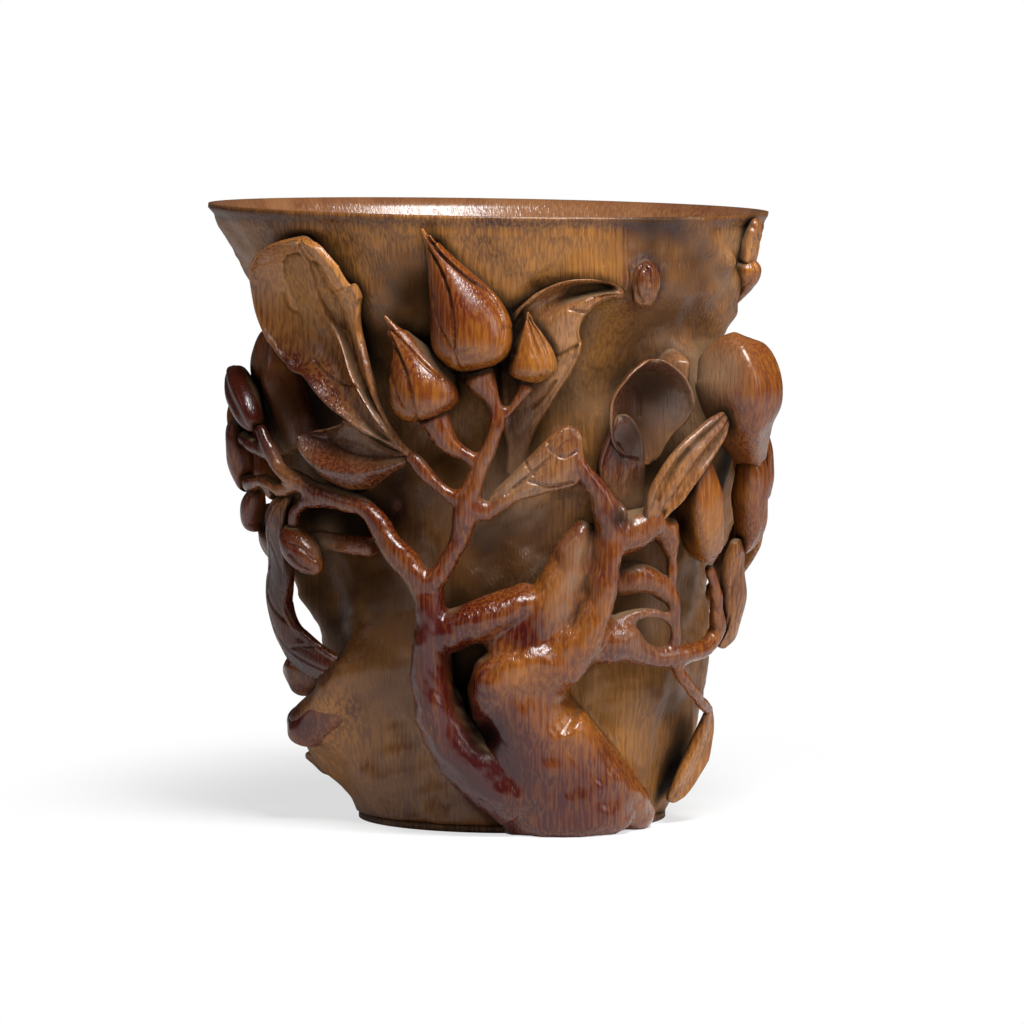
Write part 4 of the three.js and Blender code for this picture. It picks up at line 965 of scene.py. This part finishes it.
# %% [markdown]
# ## Knots and cut ends on the ground
#
# Where a side root was sawn off, a blunt stub is left, and smaller knots stand near the rim and foot.

# %% Knots
# Each has the finish it takes, its rows and how far its two ends are rounded.
KNOTS = {
    "rim_knot": (front, "leaf", [[25.6, 113.2, 3.8, 1.8, 2], [25.6, 108.6, 4, 2.9, 2.8],
        [25, 103.8, 5, 1.7, 2]], (1.4, 1.4)),
    "foot_stub": (around, "branch", [[-57, 30.4, 12, 5.2], [-65, 24.6, 5.6, 5], [-73, 19.6, -0.4, 4.5],
        [-75.4, 18.2, -1.6, 4]], (1, 0.3)),
    "foot_knot": (around, "branch", [[-99, 28.4, 12, 5.4], [-99, 28.6, 5, 5.2], [-99, 28.8, 0.6, 4.6],
        [-99, 29, -1.8, 2.6]], (1, 2.4)),
    "foot_spur": (around, "ground", [[-84, 11, 8, 4.4], [-92, 11.4, 1.4, 2.8],
        [-96, 11.6, -3.2, 0.8]], (1, 0.4)),
}
OVAL = [(25.5 + 1.5 * math.cos(0.5 * i), 108.6 + 3.4 * math.sin(0.5 * i)) for i in range(13)]
knots = []
for node, (place, finish, rows, blunt) in KNOTS.items():
    piece = pulled(piece_name(node.split("_")[1], node), place, rows, round_section, 0.34, blunt)
    cut_marks(piece, 0.3, 6, 5)
    if node == "rim_knot":
        incise(piece, [OVAL], 0.35, 0.5)
    knots.append((piece, node))
print("knots:", len(knots))

# %% [markdown]
# ## Where wax gathers, where shade is painted and where hands rub
#
# Centuries of handling and wax leave the hollows dark and the edges pale, and the hollows are painted darker
# still as shade, most under an overhang. To paint that, each point has to know how shut in it is and whether
# it lies on an edge. All pieces are dropped into one grid of small cells. Looking out from a point through
# the grid gives how shut in it is, and the share of filled cells close round it tells an edge from a crease.

# %% A grid of filled cells
CELL = 0.75
grid_low, grid_high = np.array([[-66.0, -56.0, -4.0], [66.0, 56.0, 128.0]])
grid_size = np.ceil((grid_high - grid_low) / CELL).astype(int)


def cell_of(co):
    return np.clip(((co - grid_low) / CELL).astype(int), 0, grid_size - 1)


def filled_cells(pieces):
    """Floods the grid from its sides and top. What the flood can't reach is filled."""
    skin = np.zeros(grid_size, bool)
    for piece in pieces:
        co = points(piece)
        pairs = edges(piece)
        middles = (co[pairs[:, 0]] + co[pairs[:, 1]]) / 2
        for cloud in (co, middles, listed(piece.data.polygons, "center") * 1000):
            skin[tuple(cell_of(cloud).T)] = True
    outside = np.zeros_like(skin)
    outside[0] = outside[-1] = outside[:, 0] = outside[:, -1] = outside[:, :, -1] = True
    reached = -1
    while reached != outside.sum():
        reached = outside.sum()
        for _ in range(12):
            grown = outside.copy()
            for axis in range(3):
                old, new = np.moveaxis(outside, axis, 0), np.moveaxis(grown, axis, 0)
                new[1:] |= old[:-1]
                new[:-1] |= old[1:]
            outside = grown & ~skin
    return ~outside


def blurred(cells, times):
    cells = cells.astype(np.float32)
    for _ in range(times):
        for axis in range(3):
            cells = (np.roll(cells, 1, axis) + 2 * cells + np.roll(cells, -1, axis)) / 4
    return cells


def sampled(cells, co):
    """The grid's value at each point, blended between the nearest cells."""
    at = (co - grid_low) / CELL - 0.5
    low = np.clip(np.floor(at).astype(int), 0, grid_size - 2)
    f = at - low
    value = np.zeros(len(co), np.float32)
    for corner in np.ndindex(2, 2, 2):
        near = np.abs(1 - np.array(corner) - f)
        value += near[:, 0] * near[:, 1] * near[:, 2] * cells[tuple((low + corner).T)]
    return value


carving = [trunk, back_growth] + [p for p, _ in leaves + buds + petals + knots]
everything = [wall, plate] + carving
filled = filled_cells(everything)
print("filled cells:", int(filled.sum()))

# %% Fill the creases, as a gouge leaves them
# Each carved skin is pushed out by at most so many millimetres where it meets another. The wall is left
# alone inside, at the lip and at the foot.
CREASE_LOOK = 0.6
CREASE_FROM, CREASE_RANGE = 0.5, 0.35
FOOT_KEPT, LIP_KEPT = 3, 116

near_full = blurred(filled, 6)
for piece, most in ((wall, 1.6), (trunk, 0.6), (back_growth, 1)):
    co = points(piece)
    way = normals(piece)
    crease = np.clip((sampled(near_full, co + way * CREASE_LOOK) - CREASE_FROM) / CREASE_RANGE, 0, 1)
    if piece is wall:
        crease[is_inside | (wall_co[:, 2] > LIP_KEPT) | (wall_co[:, 2] < FOOT_KEPT)] = 0
    put_points(piece, co + way * spread(piece, crease * most, 6)[:, None])
print("creases filled")

# %% Patches of old skin, painted light and shade, and dust
# Where the skin is made lighter (above 0) or darker (below 0): x, z, how far it reaches, how much. Above 0 is
# skin rubbed golden and painted light where light falls; below 0 is skin kept dark red and painted shade
# under overhangs and in holes. The ground's table is on the wall alone. DUST is where pale dust has settled
# in the carving.
PATINA_AND_PAINTED_LIGHT = [
    [-17, 36, 11, -0.6], [-6, 12, 13, -0.8], [-50, 60, 12, -0.5], [-53, 88, 12, -0.6], [-31, 75, 8, -0.5],
    [-44, 84, 7.5, -1.6], [27, 88, 6, -1.6], [22, 74, 5, -0.5], [-24, 60, 8, -0.3], [11, 96, 9, 0.9],
    [7, 50, 5, 0.7], [18.5, 47, 4, 0.6], [1, 32.6, 4.5, 0.9], [3, 40, 4, -0.7], [15, 41, 4, 0.8],
    [27, 117, 9, -0.8], [-36, 108, 12, 1], [38, 60, 6, 0.7], [36, 12, 6, 0.7], [22, 96, 4, 0.2],
    [47, 114, 6, 0.9], [-11, 105, 6, -0.3], [23.5, 79, 4, -1.6], [-44, 104, 7, 0.7], [31, 72, 6, 0.4],
    [12, 22, 5, 1], [12, 7, 9, -0.35], [-48, 48, 9, -0.8], [-41, 35, 7, -0.5], [-44, 21, 5, -0.7],
    [-45, 69, 4, 1], [-5.2, 20, 3, -2.2], [20.9, 63.4, 1.8, -2], [-44, 29, 6, -1],
]
GROUND_PATINA_AND_PAINTED_LIGHT = [
    [-30.5, 61.4, 5, -3.4], [-37.5, 61.2, 4.6, -3.4], [-45, 68, 6, -1.8], [-3, 58, 10, -1.4],
    [-24, 70, 6, -1.4], [30, 62, 9, -0.6], [22, 49, 6, -1.8], [18, 25, 11, 1.3], [-12, 72, 5, -1.6],
    [-20, 108, 8, -2.1], [-16, 119, 9, 0.8], [8, 113, 12, 0.5], [-26, 28, 9, -0.6], [-37, 22, 5, 0.9],
    [-34, 8, 6, 0.4], [-24, 8, 7, -0.5], [-27, 48, 9, -1.7], [-29, 97, 5, -1], [30, 104, 8, -0.8],
    [38, 112, 6, -0.9], [28, 118, 6, -0.6], [4, 98, 6, -0.8], [-37, 82, 9, -1.6], [31, 25, 5, -1.4],
    [-4, 44, 6, -1.2],
]
DUST = [
    [13.2, 57, 2.8, 0.5], [11.6, 51, 3.4, 0.45], [9.4, 45, 3, 0.35], [0, 73, 5, 0.5], [14, 87, 7, 0.4],
    [32, 80, 7, 0.5], [40, 91, 6, 0.8], [43.5, 116, 3, 0.6], [42, 108, 2.5, 0.5], [-37, 57.4, 2.6, 0.7],
    [29, 97, 6, 0.3], [24, 66, 4, 0.4], [-29, 79, 5, 0.4], [-44, 74, 4, 0.4], [10, 100, 6, 0.2],
    [27, 40, 5, 0.4], [5, 66, 8, 0.3],
]


def painted(table, co):
    """The sum of soft round patches seen from the front, faded out towards the back."""
    total = np.zeros(len(co), np.float32)
    for x, z, reach, amount in table:
        total += amount * np.exp(-((co[:, 0] - x) ** 2 + (co[:, 2] - z) ** 2) / reach ** 2)
    return total * np.clip(-co[:, 1] / 10, 0, 1)


print("patches:", len(PATINA_AND_PAINTED_LIGHT) + len(GROUND_PATINA_AND_PAINTED_LIGHT) + len(DUST))

# %% How shut in and how worn each point is
# A look goes out in each of 26 ways. A step is how far along it, and how much a filled cell there shuts.
filled = filled_cells(everything)
close_full = blurred(filled, 3)
LOOKS = [np.array(look) - 1 for look in np.ndindex(3, 3, 3) if look != (1, 1, 1)]
LOOKS = [look / math.sqrt(look @ look) for look in LOOKS]
STEPS = [(0.6, 1), (1.4, 0.95), (2.3, 0.9), (3.4, 0.82), (4.8, 0.7)]
STEPS += [(6.6, 0.55), (9, 0.5), (12, 0.4), (16, 0.3)]
CLEAR_OF_SKIN = 1.1
# Looks upward count more, so that hollows under an overhang get more painted shade, as light falls from
# above.
FROM_ABOVE = 0.7  # how much more a look upward counts
FLAT_SHARE, EDGE_SHARE = 0.47, 0.22  # filled share at which wear starts, and how much less is a full edge
DARK_RIM, DARK_RIM_FROM, DARK_RIM_HEIGHT = 0.7, 119.6, 1.4


def paint_handling_and_shade(piece):
    co = points(piece).astype(np.float32)
    # Patches painted lighter where light falls and darker where shade falls, over skin rubbed golden or kept
    # dark red.
    patina_and_painted_light = painted(PATINA_AND_PAINTED_LIGHT + (GROUND_PATINA_AND_PAINTED_LIGHT if piece is wall else []), co)
    if piece is wall:
        patina_and_painted_light -= DARK_RIM * np.clip((co[:, 2] - DARK_RIM_FROM) / DARK_RIM_HEIGHT, 0, 1)
    way = normals(piece).astype(np.float32)
    start = co + way * CLEAR_OF_SKIN
    shut = np.zeros(len(co), np.float32)
    total = np.zeros(len(co), np.float32)
    for look in LOOKS:
        weight = np.maximum(0, way @ look) * (1 + FROM_ABOVE * look[2])
        blocked = np.zeros(len(co), np.float32)
        for step, strength in STEPS:
            hit = filled[tuple(cell_of(start + look * step).T)]
            blocked = np.maximum(blocked, hit * strength)
        shut += weight * blocked
        total += weight
    edge = np.clip((FLAT_SHARE - sampled(close_full, co)) / EDGE_SHARE, 0, 1)
    # How shut in a point is paints wax and painted shade into its hollows; the patches paint light and shade
    # besides old skin.
    painting = {
        "recess": spread(piece, shut / np.maximum(total, 1e-6), 4),
        "wear": spread(piece, edge, 2),
        "patina_and_painted_light": patina_and_painted_light,
        "dust": painted(DUST, co),
    }
    for name, values in painting.items():
        attribute = piece.data.attributes.new(name, "FLOAT", "POINT")
        attribute.data.foreach_set("value", values.astype(np.float32))


for piece in [wall] + carving:
    paint_handling_and_shade(piece)
print("handling painted on", len(carving) + 1, "pieces")

# %% [markdown]
# ## Bamboo
#
# Bamboo is a grass: thousands of hard fibre bundles run straight up in softer tissue. On an upright face
# they show as fine streaks, and where a cut slopes they show as dashes and dots. One pattern in space,
# cells half a millimetre across and stretched along the height, gives all three. Over it lies the patina
# of handling: red-brown wax, rubbed to honey on the edges. Over that, shade is painted: the hollows are
# nearly black with wax and painted shade, and patches are painted lighter where light falls and darker
# where shade falls. Polished carving is glossy, and the ground, scraped and left alone, is satin.

# %% Colours and nodes
def linear(hex_colour):
    parts = [int(hex_colour[i : i + 2], 16) / 255 for i in (1, 3, 5)]
    return [c / 12.92 if c <= 0.04045 else ((c + 0.055) / 1.055) ** 2.4 for c in parts] + [1]


def add(tree, kind, inputs=(), out=0, **settings):
    """Adds one node and gives one of its outputs. Inputs are named, or in order when they are a list.

    An input is a value, a hex colour or another node's output."""
    node = tree.nodes.new("ShaderNode" + kind)
    for key, value in settings.items():
        setattr(node, key, value)
    for key, value in inputs.items() if isinstance(inputs, dict) else enumerate(inputs):
        if isinstance(value, bpy.types.NodeSocket):
            tree.links.new(value, node.inputs[key])
        else:
            node.inputs[key].default_value = linear(value) if isinstance(value, str) else value
    return node.outputs[out]


def new_material(name):
    material = bpy.data.materials.new(name)
    material.use_nodes = True
    return material, material.node_tree, material.node_tree.nodes["Principled BSDF"]


# %% Bamboo's fibres and patina, with painted light and shade
# Sizes are in metres. A bundle is drawn 0.6 mm wide, about twice the real one, so that it shows.
BUNDLE = (0.0006, 0.0006, 0.0035)
STREAKS_PER_METRE = (1900, 1900, 18)
WANDER = (0.0012, 0.0012, 0)
TOOL_MARK = 0.00018
# Patches below 0 are multiplied towards this: skin kept dark red, and painted shade.
OLD_SKIN_AND_SHADE = "#7c3426"
PALE_DUST = "#84664c"
SETTLED_DUST = "#7c644a"


def bamboo(name, deep, dust, body, honey, rubbed, gloss, patches, fibre, coat, cut=TOOL_MARK):
    """deep is the near black of wax and painted shade in hollows, dust lies in hollows, body is the patina,
    honey the bare fibre and rubbed the worn edge.
    """
    material, tree, shader = new_material(name)
    where = add(tree, "TexCoord", out="Object")
    wander = add(tree, "TexNoise", {"Vector": where, "Scale": 55, "Detail": 2}, "Color")
    bent_space = add(tree, "VectorMath", [wander, WANDER, where], operation="MULTIPLY_ADD")
    bundles = add(tree, "Mapping", {"Vector": bent_space, "Scale": [1 / size for size in BUNDLE]})
    cells = add(tree, "TexVoronoi", {"Vector": bundles, "Scale": 1, "Randomness": 1}, "Distance")
    stretched = add(tree, "Mapping", {"Vector": bent_space, "Scale": STREAKS_PER_METRE})
    streaks = add(tree, "TexNoise", {"Vector": stretched, "Scale": 1, "Detail": 2, "Roughness": 0.5}, "Fac")
    broad = add(tree, "TexNoise", {"Vector": where, "Scale": 45, "Detail": 4, "Roughness": 0.6}, "Fac")
    upward = add(tree, "SeparateXYZ", [add(tree, "NewGeometry", out="Normal")], "Z")
    recess, wear, patina_and_painted_light, pale = [
        add(tree, "Attribute", out="Fac", attribute_name=key) for key in ("recess", "wear", "patina_and_painted_light", "dust")
    ]

    # Each share goes from one value to another while what it reads goes from one value to another.
    ranges = {
        "dots": [cells, 0.16, 0.42, 1, 0],
        "patch": [broad, 0.34, 0.7, 0, 1],
        "lines": [streaks, 0.44, 0.56, 0, 1],
        # Painted shade over old skin: patches below 0 are multiplied towards dark red-brown.
        "old skin and shade": [patina_and_painted_light, -1, 0, 0.62, 0],
        "shallow": [recess, 0.14, 0.46, 0, 0.85],
        # Painted shade: deep hollows go near black, over the wax they hold.
        "hollow": [recess, 0.46, 0.76, 0, 0.95],
        # Painted shade: the darkest patches, in holes and under overhangs, go near black.
        "painted shade": [patina_and_painted_light, -2.2, -0.9, 0.92, 0],
        "level": [upward, 0.3, 0.8, 0, 0.5],
        "sheltered": [recess, 0.24, 0.42, 0, 1],
    }
    share = {key: add(tree, "MapRange", inputs) for key, inputs in ranges.items()}
    bare = add(tree, "Math", [share["lines"], fibre], operation="MULTIPLY")
    bare = add(tree, "Math", [share["patch"], patches, bare], operation="MULTIPLY_ADD")
    # Patches above 0 lighten towards honey: skin rubbed golden, and painted light where light falls.
    bare = add(tree, "Math", [patina_and_painted_light, 0.5, bare], operation="MULTIPLY_ADD", use_clamp=True)
    dark_dots = add(tree, "Math", [share["dots"], 0.36], operation="MULTIPLY")
    edge = add(tree, "Math", [wear, 0.55], operation="MULTIPLY")
    settled = add(tree, "Math", [share["level"], share["sheltered"]], operation="MULTIPLY")

    # The colour is laid on in coats, each over the last. Some coats are painted shade: patches below 0 are
    # multiplied darker, and deep hollows and the darkest patches are painted near black.
    colour = body
    for amount, coat_colour, how in (
        (bare, honey, "MIX"),
        (dark_dots, body, "MIX"),
        (share["old skin and shade"], OLD_SKIN_AND_SHADE, "MULTIPLY"),
        (edge, rubbed, "MIX"),
        (share["shallow"], dust, "MIX"),
        (share["hollow"], deep, "MIX"),
        (share["painted shade"], deep, "MIX"),
        (pale, PALE_DUST, "MIX"),
        (settled, SETTLED_DUST, "MIX"),
    ):
        over = {0: amount, 6: colour, 7: coat_colour}
        colour = add(tree, "Mix", over, 2, data_type="RGBA", blend_type=how)
    tree.links.new(colour, shader.inputs["Base Color"])

    # Hollows and the patches painted darkest as shade lose the gloss.
    dull = add(tree, "Math", [share["painted shade"], 0.45, recess], operation="MULTIPLY_ADD")
    rough = add(tree, "MapRange", [dull, 0.15, 0.55, gloss, 0.7])
    rough = add(tree, "Math", [streaks, 0.2, rough], operation="MULTIPLY_ADD")
    tree.links.new(add(tree, "Math", [rough, 0.1], operation="SUBTRACT"), shader.inputs["Roughness"])
    for socket, most, least in (("Coat Weight", coat, 0), ("Specular IOR Level", 0.3, 0.05)):
        tree.links.new(add(tree, "MapRange", [dull, 0.1, 0.38, most, least]), shader.inputs[socket])
    shader.inputs["Coat Roughness"].default_value = 0.27

    # Fine tool marks stand between the bundles.
    grain = add(tree, "TexNoise", {"Vector": where, "Scale": 600, "Detail": 3}, "Fac")
    relief = add(tree, "Math", [grain, 0.8, streaks], operation="MULTIPLY_ADD")
    relief = add(tree, "Math", [share["dots"], -0.5, relief], operation="MULTIPLY_ADD")
    bump = add(tree, "Bump", {"Strength": 0.5, "Distance": cut, "Height": relief})
    tree.links.new(bump, shader.inputs["Normal"])
    return material


# %% The finishes
# Five colours, then the roughness, how much of the patches and of the fibre shows, and the wax coat.
FINISHES = {
    "ground": bamboo(
        "bamboo_scraped_ground", "#0a0503", "#3e2c1a", "#3c170b", "#9a6426", "#94622c",
        0.4, 0.35, 0.42, 0.15, cut=0.00028,
    ),
    "branch": bamboo(
        "bamboo_polished_branch", "#0a0302", "#382014", "#440d08", "#965a1e", "#96542a",
        0.24, 0.34, 0.27, 0.28,
    ),
    "leaf": bamboo(
        "bamboo_polished_leaf", "#0a0402", "#3c2818", "#481908", "#b0763c", "#a86c34",
        0.28, 0.35, 0.25, 0.25,
    ),
    "bud": bamboo(
        "bamboo_polished_bud", "#0c0402", "#382010", "#541a08", "#a0641a", "#a4662a",
        0.25, 0.3, 0.25, 0.3,
    ),
    "plate": bamboo(
        "bamboo_foot_plate", "#080402", "#241609", "#34190a", "#7a5022", "#6e4c26",
        0.5, 0.4, 0.4, 0.05,
    ),
}
BORE = bamboo(
    "bamboo_polished_bore", "#1c0d07", "#46281a", "#5a2f1e", "#8a5a36", "#966a44",
    0.24, 0.4, 0.5, 0.4,
)
print("finishes:", len(FINISHES) + 1)

# %% Give each piece its finish and its place in the frame
def dress(piece, finish, nodes):
    piece.data.materials.clear()
    piece.data.materials.append(FINISHES[finish])
    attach(piece, "root")
    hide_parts(*nodes)


SCENE_ONLY = ("ledge", "right_twig")  # these two limbs stand for no node
trunk_nodes = ["main_trunk", "cut_stub"]
trunk_nodes += [limb for limb in (*STEM_LIMBS, *LATTICE_LIMBS) if limb not in SCENE_ONLY]
dress(wall, "ground", ["cup_wall"])
wall.data.materials.append(BORE)
bored = is_inside[[polygon.vertices[0] for polygon in wall.data.polygons]]
wall.data.polygons.foreach_set("material_index", bored.astype(np.int32))
dress(plate, "plate", ["base_plate"])
dress(trunk, "branch", trunk_nodes)
dress(back_growth, "branch", ["back_stem", "back_twig", "back_side_twig"])
for piece, node in leaves:
    dress(piece, "leaf", [node])
for piece, node in buds + petals:
    dress(piece, "bud", [node])
for piece, node in knots:
    dress(piece, KNOTS[node][1], [node])
print("pieces:", len(everything), "faces in all:", count_faces(everything))

# %% [markdown]
# ## The studio
#
# The photograph was taken on white paper under large soft boxes. The floor is pale paper that keeps the
# cup's soft shadow near it and fades to the white background further out.

# %% Floor
FLOOR_HALF_WIDTH = 3
JUST_BELOW = (0, 0, -0.00005)
GLOSSY_SHARE = 0.14  # how much of the white a polished face mirrors
FADE = [0.05, 0.115, 0.68, 1]  # the distances between which the paper turns white, and its share of white

bm = bmesh.new()
bmesh.ops.create_grid(bm, x_segments=8, y_segments=8, size=FLOOR_HALF_WIDTH)
bmesh.ops.translate(bm, verts=bm.verts, vec=JUST_BELOW)
floor = finished("paper_floor", bm)
paper, tree, shader = new_material("white_paper")
shader.inputs["Base Color"].default_value = linear("#f1f2f2")
shader.inputs["Roughness"].default_value = 0.9
white = add(tree, "Emission", {"Color": (1, 1, 1, 1), "Strength": 1})


def seen_directly(tree):
    rays = [add(tree, "LightPath", out=f"Is {ray} Ray") for ray in ("Camera", "Transmission")]
    return add(tree, "Math", rays, operation="MAXIMUM")


glossy = add(tree, "LightPath", out="Is Glossy Ray")
seen = add(tree, "Math", [glossy, GLOSSY_SHARE, seen_directly(tree)], operation="MULTIPLY_ADD")
oval = add(tree, "Mapping", {"Vector": add(tree, "TexCoord", out="Object"), "Scale": (1, 0.6, 0)})
away = add(tree, "VectorMath", [oval], "Value", operation="LENGTH")
fade = add(tree, "MapRange", [away, *FADE], interpolation_type="SMOOTHSTEP")
share = add(tree, "Math", [fade, seen], operation="MULTIPLY")
surface = add(tree, "MixShader", [share, shader.outputs[0], white])
tree.links.new(surface, tree.nodes["Material Output"].inputs["Surface"])
floor.data.materials.append(paper)
print("floor:", 2 * FLOOR_HALF_WIDTH, "m wide")

# %% Soft boxes and surroundings
AIM = Vector((0, 0, 0.065))
SOFT_BOXES = {  # place, size and watts
    "box_above": ((0.14, -0.28, 0.52), (0.24, 0.18), 5.2),
    "box_left": ((-0.7, -0.4, 0.45), (0.2, 0.4), 0.4),
    "box_right": ((0.7, -0.3, 0.35), (0.2, 0.4), 1.4),
}
ROOM_LIGHT = 0.07

for name, (place, size, watts) in SOFT_BOXES.items():
    light = bpy.data.lights.new(name, "AREA")
    light.shape = "RECTANGLE"
    light.size, light.size_y = size
    light.energy = watts
    lamp = bpy.data.objects.new(name, light)
    lamp.location = place
    lamp.rotation_euler = (AIM - Vector(place)).to_track_quat("-Z", "Y").to_euler()
    bpy.context.scene.collection.objects.link(lamp)

world = bpy.data.worlds.new("studio")
bpy.context.scene.world = world
world.use_nodes = True
tree = world.node_tree
strength = add(tree, "MapRange", [seen_directly(tree), 0, 1, ROOM_LIGHT, 1])
tree.links.new(strength, tree.nodes["Background"].inputs["Strength"])
tree.nodes["Background"].inputs["Color"].default_value = (1, 1, 1, 1)
bpy.context.scene.view_settings.view_transform = "Standard"
print("soft boxes:", len(SOFT_BOXES))
